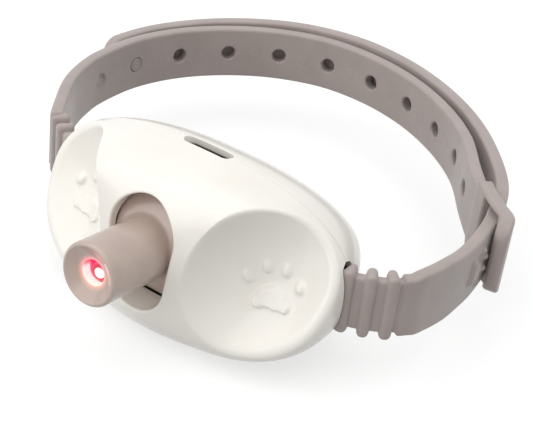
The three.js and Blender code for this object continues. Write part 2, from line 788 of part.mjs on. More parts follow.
// Steel socket shell, open upwards through the casing's charging slot
function chargeSocketShell() {
  const outer = obroundBarZ(socketWidth / 2, socketThickness / 2, socketBottom, socketTop);
  const inner = obroundBarZ(socketWidth / 2 - socketWall, socketThickness / 2 - socketWall,
    socketBottom + socketWall, socketTop + cutPast);
  return outer.subtract(inner);
}

function chargeTongue() {
  const base = socketBottom + socketWall + seatGap;
  return block([-tongueWidth / 2, -podRearDepth - tongueThickness / 2, base],
    [tongueWidth / 2, -podRearDepth + tongueThickness / 2, base + tongueLength]);
}

// A component on the board's front face, given its centre and size
function onBoard(x, z, wide, tall, thick) {
  const back = boardFrontY - seatGap;
  return block([x - wide / 2, back - thick, z - tall / 2], [x + wide / 2, back, z + tall / 2]);
}

const switchBottom = -boardHalfHeight + seatGap;

// Power button: a round cap through the underside with a flange that keeps it in
function powerButton() {
  const [halfWidth, halfHeight] = rearHalfSizes(1 + buttonY / podRearDepth, 0);
  const across = Math.abs(buttonX) / halfWidth;
  const skin = halfHeight * (1 - across ** seamOutlinePower) ** (1 / seamOutlinePower);
  const flangeTop = switchBottom - buttonTravel - fitGap;
  const flangeBottom = flangeTop - buttonFlangeThickness;
  return bar('z', buttonRadius, -skin - buttonStandOut, flangeTop, [buttonX, buttonY])
    .add(bar('z', buttonFlangeRadius, flangeBottom, flangeTop, [buttonX, buttonY]));
}

// Strap centre-lines. Root points start inside the pod's end and are shares of the tongue's reach and
// the pod's rear depth; loop points are shares of the loop's half span and depth.
const rootShares = [[-1, -1], [-0.4, -1], [-0.05, -0.995], [0.44, -0.89], [0.875, -0.745]];
const holedLoopShares = [
  [-0.744, -0.143], [-0.826, -0.054], [-0.927, 0.08], [-0.977, 0.195], [-0.996, 0.277], [-0.993, 0.465],
  [-0.924, 0.645], [-0.797, 0.8], [-0.633, 0.918], [-0.432, 0.991], [-0.207, 0.998], [0.013, 0.952],
  [0.223, 0.859], [0.405, 0.732], [0.557, 0.569], [0.695, 0.435], [0.77, 0.377], [0.83, 0.333],
  [0.848, 0.275],
];
const pegLoopShares = [
  [0.768, -0.1], [0.784, -0.041], [0.794, 0.028], [0.8, 0.104], [0.798, 0.186], [0.786, 0.266],
  [0.771, 0.335], [0.742, 0.418], [0.719, 0.489],
];

function rootPoints(side) {
  return rootShares.map(([across, back]) =>
    new THREE.Vector3(side * (podHalfWidth + across * tongueReach), back * podRearDepth, 0));
}

function loopPoints(shares) {
  return shares.map(([across, back]) => new THREE.Vector3(across * loopHalfSpan, back * loopDepth, 0));
}

const holedPath = new THREE.CatmullRomCurve3(
  [...rootPoints(-1), ...loopPoints(holedLoopShares)], false, 'centripetal');
holedPath.arcLengthDivisions = 800;
const holedLength = holedPath.getLength();
const holeAt = (index) => firstHoleAt + index * holePitch;

// Point, outward direction and run direction on a path at a length from its start
function frameAt(path, length, side) {
  const share = THREE.MathUtils.clamp(length / path.getLength(), 0, 1);
  const point = path.getPointAt(share);
  const run = path.getTangentAt(share);
  const outward = new THREE.Vector3(-side * run.y, side * run.x, 0).normalize();
  return { point, run, outward };
}

const tailStartAt = holedLength - keeperLength - strapHalfWidth;
const tailEndAt = holeAt(pegHole) - tailPastPeg;

// The tail lies round the outside of the holed strap, close at the peg and further off at the keeper
function tailPoints() {
  const points = [];
  const span = tailStartAt - tailEndAt;
  const steps = Math.round(span / holePitch);
  for (let i = 0; i <= steps; i += 1) {
    const share = 1 - i / steps;
    const gap = bandTightGap + (bandKeeperGap - bandTightGap) * share ** 3;
    const { point, outward } = frameAt(holedPath, tailEndAt + span * share, 1);
    const lifted = point.addScaledVector(outward, strapThickness + gap);
    lifted.z = tailRaise * Math.sin(Math.PI * share) ** 2;
    points.push(lifted);
  }
  return points;
}

const pegPath = new THREE.CatmullRomCurve3(
  [...rootPoints(1), ...loopPoints(pegLoopShares), ...tailPoints()], false, 'centripetal');
pegPath.arcLengthDivisions = 800;
const pegLength = pegPath.getLength();

// Rounded section of a strap as [outward, up] offsets
function strapSection(halfThickness, halfWidth) {
  const radius = Math.min(strapCornerRadius, halfThickness * 0.9, halfWidth * 0.9);
  const points = [];
  for (let corner = 0; corner < 4; corner += 1) {
    const outwardSign = corner === 0 || corner === 3 ? 1 : -1;
    const upSign = corner < 2 ? 1 : -1;
    for (let i = 0; i <= 2; i += 1) {
      const angle = (corner * Math.PI) / 2 + (i * Math.PI) / 4;
      points.push([
        outwardSign * (halfThickness - radius) + radius * Math.cos(angle),
        upSign * (halfWidth - radius) + radius * Math.sin(angle),
      ]);
    }
  }
  return points;
}

// A strap skinned over stations of { at, halfThickness, halfWidth } along its path
function strapBody(path, stations, side) {
  const rings = stations.map(({ at, halfThickness, halfWidth }) => {
    const { point, outward } = frameAt(path, at, side);
    return strapSection(halfThickness, halfWidth).map(([out, up]) =>
      point.clone().addScaledVector(outward, out).add(new THREE.Vector3(0, 0, up)));
  });
  const first = frameAt(path, stations[0].at, side).point;
  const last = frameAt(path, stations[stations.length - 1].at, side).point;
  return skinOver(rings, first, last);
}

// Where a rib's rounded back is drawn, as shares of half its run length
const ribRunShares = [-0.75, 0, 0.75];

// Stations of the tongue, root flange, two ribs and the step up to the flat strap
function rootStations() {
  const station = (at, thickness, halfWidth) => ({ at, halfThickness: thickness / 2, halfWidth });
  const stations = [station(0, tongueStrapThickness, tongueHalfWidth)];
  const flangeStart = flangeAt - ribRunLength / 2;
  stations.push(station(flangeStart - seatGap, tongueStrapThickness, tongueHalfWidth));
  for (let rib = 0; rib < 3; rib += 1) {
    const middle = flangeAt + rib * ribPitch;
    if (rib > 0) {
      stations.push(station(middle - ribRunLength / 2, neckThickness, neckHalfWidth));
    }
    for (const share of ribRunShares) {
      const swell = Math.sqrt(1 - share ** 2);
      const thickness = neckThickness + (ribThickness - neckThickness) * swell;
      const halfWidth = neckHalfWidth + (ribHalfWidth - neckHalfWidth) * swell;
      stations.push(station(middle + (share * ribRunLength) / 2, thickness, halfWidth));
    }
    stations.push(station(middle + ribRunLength / 2, neckThickness, neckHalfWidth));
  }
  const stepAt = flangeAt + 3 * ribPitch - ribRunLength / 2;
  stations.push(station(stepAt, neckThickness, neckHalfWidth));
  stations.push(station(stepAt + stepRun, strapThickness, strapHalfWidth));
  return stations;
}

// Even stations of plain strap between two lengths
function flatStations(from, to) {
  const steps = Math.ceil((to - from) / strapStepLength);
  const stations = [];
  for (let i = 1; i <= steps; i += 1) {
    stations.push({
      at: from + ((to - from) * i) / steps, halfThickness: strapThickness / 2, halfWidth: strapHalfWidth,
    });
  }
  return stations;
}

// A round bar across a strap at a length along it, from one offset outward to another
function barAcross(path, length, side, radius, from, to) {
  const { point, outward } = frameAt(path, length, side);
  const geometry = new THREE.CylinderGeometry(radius, radius, to - from, smallRoundSteps);
  geometry.translate(0, (from + to) / 2, 0);
  geometry.applyQuaternion(new THREE.Quaternion().setFromUnitVectors(new THREE.Vector3(0, 1, 0), outward));
  geometry.translate(point.x, point.y, 0);
  return solidFrom(geometry);
}

function pinHole(side) {
  return bar('z', strapPinRadius + seatGap, -strapPinHalfLength - cutPast, strapPinHalfLength + cutPast,
    [side * strapPinX, -podRearDepth], smallRoundSteps);
}

// Left strap: eleven holes and, at its end, the keeper loop that the other strap passes through
function holedStrap() {
  const root = rootStations();
  const keeperStart = holedLength - keeperLength;
  const flat = flatStations(root[root.length - 1].at, keeperStart - keeperBar);
  const keeper = [];
  for (let i = 0; i <= keeperSteps; i += 1) {
    keeper.push({
      at: keeperStart + (keeperLength * i) / keeperSteps,
      halfThickness: keeperThickness / 2,
      halfWidth: i === keeperSteps ? keeperHalfWidth - keeperBar / 2 : keeperHalfWidth,
    });
  }
  let strap = strapBody(holedPath, [...root, ...flat, ...keeper], 1);
  for (let i = 0; i < holeCount; i += 1) {
    strap = strap.subtract(barAcross(holedPath, holeAt(i), 1, holeRadius, -strapThickness, strapThickness));
  }
  const loopFrom = keeperStart + keeperBar;
  const loopTo = holedLength - keeperOuterBar;
  const window = [];
  for (let i = 0; i <= keeperSteps; i += 1) {
    window.push({
      at: loopFrom + ((loopTo - loopFrom) * i) / keeperSteps,
      halfThickness: (keeperThickness + cutPast) / 2,
      halfWidth: keeperHalfWidth - keeperBar,
    });
  }
  return strap.subtract(strapBody(holedPath, window, 1)).subtract(pinHole(-1));
}

// Right strap: runs through the keeper and round outside the other, with a peg in its second hole
function pegStrap() {
  const root = rootStations();
  const tipStart = pegLength - tailTipLength;
  const flat = flatStations(root[root.length - 1].at, tipStart);
  const tip = [0.5, 0.8, 0.97].map((share) => ({
    at: tipStart + tailTipLength * share,
    halfThickness: (strapThickness / 2) * Math.sqrt(1 - share ** 4),
    halfWidth: strapHalfWidth * Math.sqrt(1 - share ** 2),
  }));
  const strap = strapBody(pegPath, [...root, ...flat, ...tip], -1);
  const pegEnd = -strapThickness / 2;
  const pegStart = strapThickness / 2 + bandTightGap + strapThickness / 2;
  const peg = barAcross(holedPath, holeAt(pegHole), 1, pegRadius, pegEnd, pegStart);
  return strap.add(peg).subtract(pinHole(1));
}

function strapPin(side) {
  return bar('z', strapPinRadius, -strapPinHalfLength, strapPinHalfLength, [side * strapPinX, -podRearDepth],
    smallRoundSteps);
}

// The head and what turns with it, raised a little at rest, in a group at the pivot
function headGroup() {
  const raised = new THREE.Group();
  raised.position.set(0, pivotY, pivotZ);
  raised.rotation.set(-restRaise, 0, 0);
  raised.add(namedMesh('swing_head', swingHead(), taupeAbs));
  raised.add(namedMesh('laser_module', laserModule(), brass));
  raised.add(namedMesh('laser_lens', laserLens(), redLens));
  raised.add(namedMesh('laser_retainer', laserRetainer(), blackNylon));
  const level = new THREE.Group();
  level.position.set(0, pivotY, pivotZ);
  level.add(namedMesh('sector_gear', sectorGear(), whiteAcetal));
  const head = new THREE.Group();
  head.add(raised, level);
  return head;
}

// The pinion and its shaft in a group at the motor's axis
function driveGroup() {
  const drive = new THREE.Group();
  drive.position.set(0, pinionY, pinionZ);
  drive.add(namedMesh('drive_pinion', drivePinion(), whiteAcetal));
  const shaftEnd = motorX0 + motorBoreDepth - fitGap;
  const shaft = bar('x', shaftRadius, gearX0 - seatGap, shaftEnd, [0, 0], smallRoundSteps);
  drive.add(namedMesh('motor_shaft', shaft, steel));
  return drive;
}

function electronicsGroup() {
  const group = new THREE.Group();
  const halfWidth = batteryWidth / 2;
  const battery = block([-halfWidth, batteryBack - batteryThickness, -batteryHalfHeight - pivotZ],
    [halfWidth, batteryBack, batteryHalfHeight - pivotZ]);
  const pad = block([-halfWidth + padInset, padBack - padThickness, -frameFloorHalfHeight + padInset],
    [halfWidth - padInset, padBack, framePlateTop - padInset]);
  group.add(namedMesh('battery_cell', battery, foilSilver));
  group.add(namedMesh('battery_pad', pad, foamGrey));
  group.add(namedMesh('main_board', mainBoard(), boardGreen));
  group.add(namedMesh('control_chip',
    onBoard(buttonX, chipSize / 2, chipSize, chipSize, chipThickness), chipBlack));
  group.add(namedMesh('charge_chip',
    onBoard(buttonX, chipSize + smallChipSize, smallChipSize, smallChipSize, chipThickness), chipBlack));
  group.add(namedMesh('status_led',
    onBoard(-frameOuterX, boardStripTop - ledSize, ledSize, ledSize, ledThickness), ledWhite));
  group.add(namedMesh('power_switch',
    onBoard(buttonX, switchBottom + switchHeight / 2, switchWidth, switchHeight, switchDepth), blackNylon));
  group.add(namedMesh('charge_socket_shell', chargeSocketShell(), steel));
  group.add(namedMesh('charge_socket_tongue', chargeTongue(), blackNylon));
  return group;
}

const object = new THREE.Group();
object.add(namedMesh('front_shell', frontShell(), ivoryAbs));
object.add(namedMesh('rear_cover', rearCover(), ivoryAbs));
object.add(namedMesh('cover_screw_left', coverScrew(-1), steel));
object.add(namedMesh('cover_screw_right', coverScrew(1), steel));
object.add(headGroup());
object.add(driveGroup());
object.add(namedMesh('swing_frame', swingFrame(), blackNylon));
object.add(namedMesh('head_axle',
  bar('x', axleRadius, -axleHalfLength, axleHalfLength, [pivotY, pivotZ]), steel));
object.add(namedMesh('axle_clip_left', axleClip(-1), steel));
object.add(namedMesh('axle_clip_right', axleClip(1), steel));
object.add(namedMesh('gear_motor', gearMotor(), steel));
object.add(namedMesh('motor_cradle', motorCradle(), blackNylon));
object.add(electronicsGroup());
object.add(namedMesh('power_button', powerButton(), taupeAbs));
object.add(namedMesh('holed_strap', holedStrap(), taupeSilicone));
object.add(namedMesh('peg_strap', pegStrap(), taupeSilicone));
object.add(namedMesh('strap_pin_left', strapPin(-1), steel));
object.add(namedMesh('strap_pin_right', strapPin(1), steel));

export default object;
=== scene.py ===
import json
import math

import bpy
import numpy as np
from mathutils import Matrix, Vector


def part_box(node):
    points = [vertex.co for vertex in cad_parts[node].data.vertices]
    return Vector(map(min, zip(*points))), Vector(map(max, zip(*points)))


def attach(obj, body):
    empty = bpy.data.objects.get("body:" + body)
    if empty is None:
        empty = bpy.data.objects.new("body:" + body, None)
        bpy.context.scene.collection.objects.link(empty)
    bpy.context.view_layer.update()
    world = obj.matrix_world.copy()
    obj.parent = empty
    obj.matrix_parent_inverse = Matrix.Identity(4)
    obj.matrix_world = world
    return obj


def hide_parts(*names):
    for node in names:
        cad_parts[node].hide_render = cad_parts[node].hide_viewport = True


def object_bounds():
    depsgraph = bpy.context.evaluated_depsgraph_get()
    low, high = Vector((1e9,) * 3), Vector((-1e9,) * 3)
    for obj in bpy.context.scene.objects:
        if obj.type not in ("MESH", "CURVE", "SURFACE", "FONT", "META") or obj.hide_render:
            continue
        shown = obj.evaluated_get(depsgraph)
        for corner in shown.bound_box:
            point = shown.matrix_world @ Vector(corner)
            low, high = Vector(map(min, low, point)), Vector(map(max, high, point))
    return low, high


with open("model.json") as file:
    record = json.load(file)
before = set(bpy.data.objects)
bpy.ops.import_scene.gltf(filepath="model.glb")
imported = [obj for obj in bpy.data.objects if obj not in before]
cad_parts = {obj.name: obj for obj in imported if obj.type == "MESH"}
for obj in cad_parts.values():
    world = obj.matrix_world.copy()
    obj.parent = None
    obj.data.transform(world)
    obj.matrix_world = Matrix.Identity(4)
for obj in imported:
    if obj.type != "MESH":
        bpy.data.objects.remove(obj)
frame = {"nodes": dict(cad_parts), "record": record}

cad_box = [[float(v) for v in corner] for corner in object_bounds()]

# Front casing. A thin glossy shell of injection-moulded ABS, ivory white, with a scooped dimple
# each side of a bridge, a slot for the barrel and a paw print raised in each dimple. It meets the
# rear casing at a fine seam, held by two screws from behind.

MM = 0.001
TINY = 1e-9
LEAST_RADIUS = 1e-6
FAR_AWAY = 1e3
POD_HALF_WIDTH = 27.4
POD_HALF_HEIGHT = 14.1
SEAM_MIDDLE = -10.8
HALF_SEAM = 0.035
FRONT_DEPTH = 14.0
WALL = 1.1
WIDTH_POWER = 3.0
HEIGHT_POWER = 4.6
SEAM_POWER = 2.4
NOSE_POWER = 3.1
BULGE = 2.2
BULGE_HALF_WIDTH = 11.5
BULGE_Z = -2.5
SLOT_TOP_RADIUS = 5.8
SLOT_TOP_Z = 5.15
SLOT_BOTTOM_RADIUS = 5.02
SLOT_BOTTOM_Z = -2.34
LIP_ROUND = 0.5
EDGE_ROUND = 0.13
EDGE_SHARES = np.array([0, 0.1, 0.26, 0.47, 0.72, 1, 1.5])[:, None]
NOTCH_BLEND = 5.0
POCKET_HALF_HEIGHT = 5.6
POCKET_DEPTH = 1.6
POCKET_POWER = 6
CHARGE_HALF_LENGTH = 4.45
CHARGE_HALF_THICKNESS = 1.2
DIMPLE_CENTRE = np.array([28.5, -43.0, 4.1])
DIMPLE_RADII = np.array([16.4, 25.0, 31.5])
DIMPLE_TURNS = (("Y", math.radians(60.6)), ("X", math.radians(69.8)), ("Z", math.radians(-99.0)))
CORE_INSET = 3.2
CORE_BEHIND = 1.0
CREASE_SOFT = 1.5
RIM_SOFT = 2.8
OUTER_RIM_X = 15.0
OUTER_RIM_RUN = 9.0
UPPER_RIM_Z = 7.0
UPPER_RIM_RUN = 6.0
UPPER_RIM_SHARE = 0.35
PIVOT = np.array([0, -13.0, 1.15])
SHIELD_RADIUS = 11.5
SHIELD_CLEARANCE = 0.32
SHELL_COLUMNS = 448
SHELL_ROWS = 165
COLLAR_ROWS = 8
LIP_ROWS = 9
INSIDE_ROWS = 18
BEHIND_ROWS = 4
ROW_POWER = 1.9


def turns(count):
    """Evenly spaced angles of one full turn."""
    return np.linspace(0, 2 * math.pi, count, endpoint=False)


def quarter(count):
    """Evenly spaced angles from nothing to a right angle, for a rounded edge."""
    return np.linspace(0, math.pi / 2, count)


def outline_radius(angle, half_width, half_height, power):
    """Distance from the middle to a rounded outline: the sum of |cos/width| and |sin/height|, each
    raised to a power, raised to -1/power."""
    across = np.abs(np.cos(angle) / half_width) ** power
    up = np.abs(np.sin(angle) / half_height) ** power
    return (across + up) ** (-1 / power)


def front_radius(forward, angle, inset):
    """Radius of the front form at a forward share, 0 at the seam and 1 at the nose: the half width and
    half height shrink as (1 - share^power)^(1/power), and the outline grows squarer."""
    width = (POD_HALF_WIDTH - inset) * (1 - forward ** WIDTH_POWER) ** (1 / WIDTH_POWER)
    height = (POD_HALF_HEIGHT - inset) * (1 - forward ** HEIGHT_POWER) ** (1 / HEIGHT_POWER)
    power = SEAM_POWER + (NOSE_POWER - SEAM_POWER) * forward
    return outline_radius(angle, np.maximum(width, LEAST_RADIUS),
                          np.maximum(height, LEAST_RADIUS), power)


def front_point(forward, angle, inset):
    """Point of the front form; the bridge bulges forward as (1 - (x/half width)^2)^2 times a rise in z."""
    radius = front_radius(forward, angle, inset)
    x = radius * np.cos(angle)
    z = radius * np.sin(angle)
    across = np.clip(1 - (x / BULGE_HALF_WIDTH) ** 2, 0, 1) ** 2
    up = np.clip(1 - ((z - BULGE_Z) / POD_HALF_HEIGHT) ** 2, 0, 1)
    y = SEAM_MIDDLE - HALF_SEAM - (FRONT_DEPTH - inset) * forward - BULGE * across * up * forward ** 2
    return np.stack([x, y, z], axis=-1)


def forward_at(radius, angle, inset):
    """Forward share at which the form has a radius, found by halving the range 40 times."""
    low = np.zeros_like(radius)
    high = np.ones_like(radius)
    for _ in range(40):
        middle = (low + high) / 2
        wider = front_radius(middle, angle, inset) > radius
        low = np.where(wider, middle, low)
        high = np.where(wider, high, middle)
    return (low + high) / 2


def slot_radius(angle):
    """Distance from the origin to the slot's outline: a wide arc above, a narrower arc below, and the
    two straight sides that touch both."""
    lean = (SLOT_TOP_RADIUS - SLOT_BOTTOM_RADIUS) / (SLOT_TOP_Z - SLOT_BOTTOM_Z)
    level = math.sqrt(1 - lean ** 2)
    reach = SLOT_BOTTOM_RADIUS - lean * SLOT_BOTTOM_Z
    side = reach / np.maximum(level * np.abs(np.cos(angle)) - lean * np.sin(angle), TINY)
    above = np.sin(angle) > 0
    centre = np.where(above, SLOT_TOP_Z, SLOT_BOTTOM_Z)
    radius = np.where(above, SLOT_TOP_RADIUS, SLOT_BOTTOM_RADIUS)
    end = centre * np.sin(angle) + np.sqrt(np.maximum(radius ** 2 - (centre * np.cos(angle)) ** 2, 0))
    touch = centre - lean * radius
    height = side * np.sin(angle)
    past = np.where(above, height > touch, height < touch)
    return np.where(past, end, side)


def notch_depth(angle):
    """How far the seam's edge is cut back: an arc-ended slot on top, a rounded pocket at each end."""
    radius = outline_radius(angle, POD_HALF_WIDTH, POD_HALF_HEIGHT, SEAM_POWER)
    x = np.abs(radius * np.cos(angle))
    z = radius * np.sin(angle)
    past = np.maximum(x - (CHARGE_HALF_LENGTH - CHARGE_HALF_THICKNESS), 0)
    charge = np.sqrt(np.maximum(CHARGE_HALF_THICKNESS ** 2 - past ** 2, 0)) - HALF_SEAM
    charge = np.where(z > 0, charge, 0)
    share = np.clip(np.abs(z) / POCKET_HALF_HEIGHT, 0, 1)
    pocket = POCKET_DEPTH * (1 - share ** POCKET_POWER) ** (1 / POCKET_POWER)
    pocket = np.where(x > POD_HALF_WIDTH / 2, pocket, 0)
    return np.maximum(np.maximum(charge, pocket), 0)


def past_notch(depth, notch):
    """Depths from the seam moved so that they start at the notch and fade out at the blend depth."""
    return np.where(depth < NOTCH_BLEND, notch + depth * (1 - notch / NOTCH_BLEND), depth)


def soft_min(a, b, soft):
    """The smaller of two lengths, with the change from one to the other rounded over the soft length."""
    near = np.clip(soft - np.abs(a - b), 0, None) / soft
    return np.minimum(a, b) - near ** 2 * soft / 4


def smooth_step(value):
    """3 share^2 - 2 share^3 of a value held between 0 and 1."""
    share = np.clip(value, 0, 1)
    return share * share * (3 - 2 * share)


# Paw print in a dimple: four egg-shaped toes and a bean-shaped pad, laid out in millimetres on a
# plane that touches the dimple at the print's middle. A toe is placed across, up and by its lean, and
# a disc of the pad across, up and by its radius.
PAW_MIDDLE = np.array([17.63, -16.28, -1.39])
PAW_TURN = math.radians(9.9)
PAW_TILT = math.radians(27.2)
TOE_PLACES = [(-4.0, 1.64, -0.43), (-1.7, 3.89, -0.21), (1.15, 4.16, -0.15), (3.87, 2.45, -0.55)]
TOE_HALF_WIDTH = 0.98
TOE_HALF_LENGTH = 1.22
TOE_SQUEEZE_SHARE = 0.16
TOE_EDGE_SHARE = 0.75
PAD_DISCS = [(-1.7, -1.4, 1.22), (-1.1, -0.1, 1.28), (0.15, 0.38, 1.4), (1.4, 0.0, 1.35),
             (2.5, -0.95, 1.15), (0.95, -0.95, 1.2), (-0.35, -0.9, 1.12)]
PAD_BLEND = 0.9
PAW_HEIGHT = 0.68
PAW_SLOPE = 0.66
PAW_FADE = 0.6


def paw_height(across, up):
    """Relief of one print: a smooth step at the edge of each toe and of the joined pad discs, with a
    low dome on each toe."""
    height = np.zeros_like(across)
    for toe_across, toe_up, lean in TOE_PLACES:
        a = across - toe_across
        b = up - toe_up
        wide = a * math.cos(lean) - b * math.sin(lean)
        tall = a * math.sin(lean) + b * math.cos(lean)
        squeeze = 1 + TOE_SQUEEZE_SHARE * tall / TOE_HALF_LENGTH
        edge = 1 - np.sqrt((wide * squeeze / TOE_HALF_WIDTH) ** 2 + (tall / TOE_HALF_LENGTH) ** 2)
        dome = TOE_EDGE_SHARE + (1 - TOE_EDGE_SHARE) * np.clip(edge, 0, 1)
        height = np.maximum(height, smooth_step(edge * TOE_HALF_WIDTH / PAW_SLOPE) * dome)
    pad = np.full_like(across, FAR_AWAY)
    for disc_across, disc_up, radius in PAD_DISCS:
        pad = soft_min(pad, np.hypot(across - disc_across, up - disc_up) - radius, PAD_BLEND)
    return PAW_HEIGHT * np.maximum(height, smooth_step(-pad / PAW_SLOPE))


def leaned(vectors):
    """Turns vectors by the dimple's three turns, so that the ellipsoid's axes lie along X, Y and Z."""
    for axis, angle in DIMPLE_TURNS:
        vectors = vectors @ np.array(Matrix.Rotation(angle, 3, axis)).T
    return vectors


def scooped(points, inset, with_paw):
    """Pulls the form's points back to the dimple's surface along lines from a core behind them: the
    distance to the form and the distance to a turned ellipsoid are joined by a soft minimum. Both
    sides use one ellipsoid, with the left one mirrored."""
    radius = np.hypot(points[..., 0], points[..., 2])
    angle = np.arctan2(points[..., 2], points[..., 0])
    core = outline_radius(angle, POD_HALF_WIDTH, POD_HALF_HEIGHT, SEAM_POWER) - CORE_INSET
    share = np.minimum(radius, core) / np.maximum(radius, TINY)
    behind = np.full_like(radius, SEAM_MIDDLE - HALF_SEAM + CORE_BEHIND)
    base = np.stack([points[..., 0] * share, behind, points[..., 2] * share], axis=-1)
    line = points - base
    reach = np.linalg.norm(line, axis=-1)
    line = line / reach[..., None]
    side = np.where(points[..., 0] < 0, -1.0, 1.0)[..., None]
    mirror = np.concatenate([side, 1 + 0 * side, 1 + 0 * side], axis=-1)
    start = leaned(base * mirror - DIMPLE_CENTRE) / (DIMPLE_RADII + inset)
    step = leaned(line * mirror) / (DIMPLE_RADII + inset)
    a = (step ** 2).sum(-1)
    b = (start * step).sum(-1)
    c = (start ** 2).sum(-1) - 1
    root = b * b - a * c
    scoop = np.where(root > 0, (-b - np.sqrt(np.maximum(root, 0))) / a, FAR_AWAY)
    outer = smooth_step((np.abs(points[..., 0]) - OUTER_RIM_X) / OUTER_RIM_RUN)
    upper = smooth_step((points[..., 2] - UPPER_RIM_Z) / UPPER_RIM_RUN)
    soft = CREASE_SOFT + (RIM_SOFT - CREASE_SOFT) * np.maximum(outer, upper * UPPER_RIM_SHARE)
    length = soft_min(reach, scoop, soft)
    if with_paw:
        place = (base + line * length[..., None]) * mirror - PAW_MIDDLE
        along = np.array([math.cos(PAW_TURN), math.sin(PAW_TURN), 0])
        rise = np.array([-math.sin(PAW_TURN) * math.sin(PAW_TILT), math.cos(PAW_TURN) * math.sin(PAW_TILT),
                         math.cos(PAW_TILT)])
        relief = paw_height(place @ along, place @ rise)
        length = length + relief * smooth_step((reach - scoop) / PAW_FADE)
    return base + line * length[..., None]


def ring_faces(rows, columns, close_rows=False):
    """Quads of a grid that is closed round its columns, and round its rows if asked."""
    row = np.arange(rows if close_rows else rows - 1)[:, None]
    column = np.arange(columns)[None, :]
    after_row = (row + 1) % rows
    after_column = (column + 1) % columns
    quads = np.stack([
        row * columns + column, row * columns + after_column,
        after_row * columns + after_column, after_row * columns + column], axis=-1)
    return quads.reshape(-1, 4)


def fan_faces(ring, tip):
    """Triangles from a ring of vertex numbers to one tip vertex."""
    return np.stack([ring, np.roll(ring, -1), np.full(len(ring), tip)], axis=-1)


def make_piece(name, points, faces, sharp=35):
    """A mesh object at the origin from points in millimetres and arrays of faces. The faces are turned
    to point outwards by the sign of the enclosed volume, and edges past the sharp angle stay crisp."""
    points = np.asarray(points, float).reshape(-1, 3) * MM
    volume = 0.0
    for group in faces:
        a = points[group[:, 0]]
        for k in range(1, group.shape[1] - 1):
            across = np.cross(points[group[:, k]], points[group[:, k + 1]])
            volume += np.einsum("ij,ij->i", a, across).sum()
    if volume < 0:
        faces = [group[:, ::-1] for group in faces]
    mesh = bpy.data.meshes.new(name)
    mesh.vertices.add(len(points))
    mesh.vertices.foreach_set("co", points.astype(np.float32).ravel())
    loops = np.concatenate([group.ravel() for group in faces]).astype(np.int32)
    sizes = np.concatenate([np.full(len(group), group.shape[1]) for group in faces])
    starts = np.concatenate([[0], np.cumsum(sizes)[:-1]]).astype(np.int32)
    mesh.loops.add(len(loops))
    mesh.loops.foreach_set("vertex_index", loops)
    mesh.polygons.add(len(sizes))
    mesh.polygons.foreach_set("loop_start", starts)
    mesh.polygons.foreach_set("use_smooth", np.ones(len(sizes), bool))
    mesh.update(calc_edges=True)
    mesh.validate()
    mesh.set_sharp_from_angle(angle=math.radians(sharp))
    piece = bpy.data.objects.new(name, mesh)
    bpy.context.scene.collection.objects.link(piece)
    return piece


def front_sheet(forward, angle, inset, with_paw):
    """Points of the front casing's face at forward shares: the form behind the notches, then scooped."""
    notched = past_notch(forward * FRONT_DEPTH, notch_depth(angle)) / FRONT_DEPTH
    return scooped(front_point(notched, angle, inset), inset, with_paw)


def collar_rows(radius, angle, from_y, to_y, count):
    """Rows at one radius that run straight forward between two depths, the last of them left out."""
    share = np.linspace(0, 1, count, endpoint=False)[:, None]
    y = from_y + (to_y - from_y) * share
    return np.stack([radius * np.cos(angle) + 0 * y, y, radius * np.sin(angle) + 0 * y], axis=-1)


def forward_rows(share, radius, angle, inset):
    """Forward shares of rows from a radius near the slot, at share 0, to the seam, at share 1. They are
    spaced by the form's width, closer together near the seam."""
    start = forward_at(radius, angle, inset)
    start_width = (1 - start ** WIDTH_POWER) ** (1 / WIDTH_POWER)
    width = 1 - (1 - start_width) * (1 - share) ** ROW_POWER
    return (1 - width ** WIDTH_POWER) ** (1 / WIDTH_POWER)


def moved_in(rows, inward, angle):
    """Rows moved by a length towards the pod's middle line."""
    return rows - np.stack([inward * np.cos(angle), 0 * inward * angle, inward * np.sin(angle)], axis=-1)


def rounded_seam(rows, depth, angle):
    """Rows near the seam pulled in on a quarter circle, so that the edge is rounded."""
    short = np.clip(EDGE_ROUND - depth, 0, None)
    return moved_in(rows, EDGE_ROUND - np.sqrt(EDGE_ROUND ** 2 - short ** 2), angle)


def front_shell_points():
    """Rows of the closed shell: along the slot's collar and over its rounded lip, across the outside
    to the seam, round its edge, and back over the inside, a wall further in. The collar runs back to
    just before the swing head's shield."""
    angle = turns(SHELL_COLUMNS)[None, :]
    slot = slot_radius(angle)
    turn = quarter(LIP_ROWS)[:, None]
    beside = LIP_ROUND * (1 - np.cos(turn))
    lip = front_sheet(forward_at(slot + beside, angle, 0), angle, 0, True)
    lip[..., 1] += LIP_ROUND * (1 - np.sin(turn))
    clear = SHIELD_RADIUS + SHIELD_CLEARANCE
    collar_end = PIVOT[1] - np.sqrt(clear ** 2 - (slot * np.sin(angle) - PIVOT[2]) ** 2)
    collar = collar_rows(slot, angle, collar_end, lip[0, :, 1], COLLAR_ROWS)
    share = np.linspace(0, 1, SHELL_ROWS + 2)[1:-1, None]
    outside = front_sheet(forward_rows(share, slot + LIP_ROUND, angle, 0), angle, 0, True)
    depth = EDGE_ROUND * EDGE_SHARES[::-1]
    edge = rounded_seam(front_sheet(depth / FRONT_DEPTH + 0 * angle, angle, 0, False), depth, angle)
    share = np.linspace(1, 0, INSIDE_ROWS)[:, None]
    inside = front_sheet(forward_rows(share, slot + WALL, angle, WALL), angle, WALL, False)
    behind = collar_rows(slot + WALL, angle, collar_end, inside[-1, :, 1], BEHIND_ROWS)[::-1]
    return np.concatenate([collar, lip, outside, edge, inside, behind])


shell_points = front_shell_points()
front_shell = make_piece("casing_front", shell_points, [
    ring_faces(shell_points.shape[0], SHELL_COLUMNS, close_rows=True)])


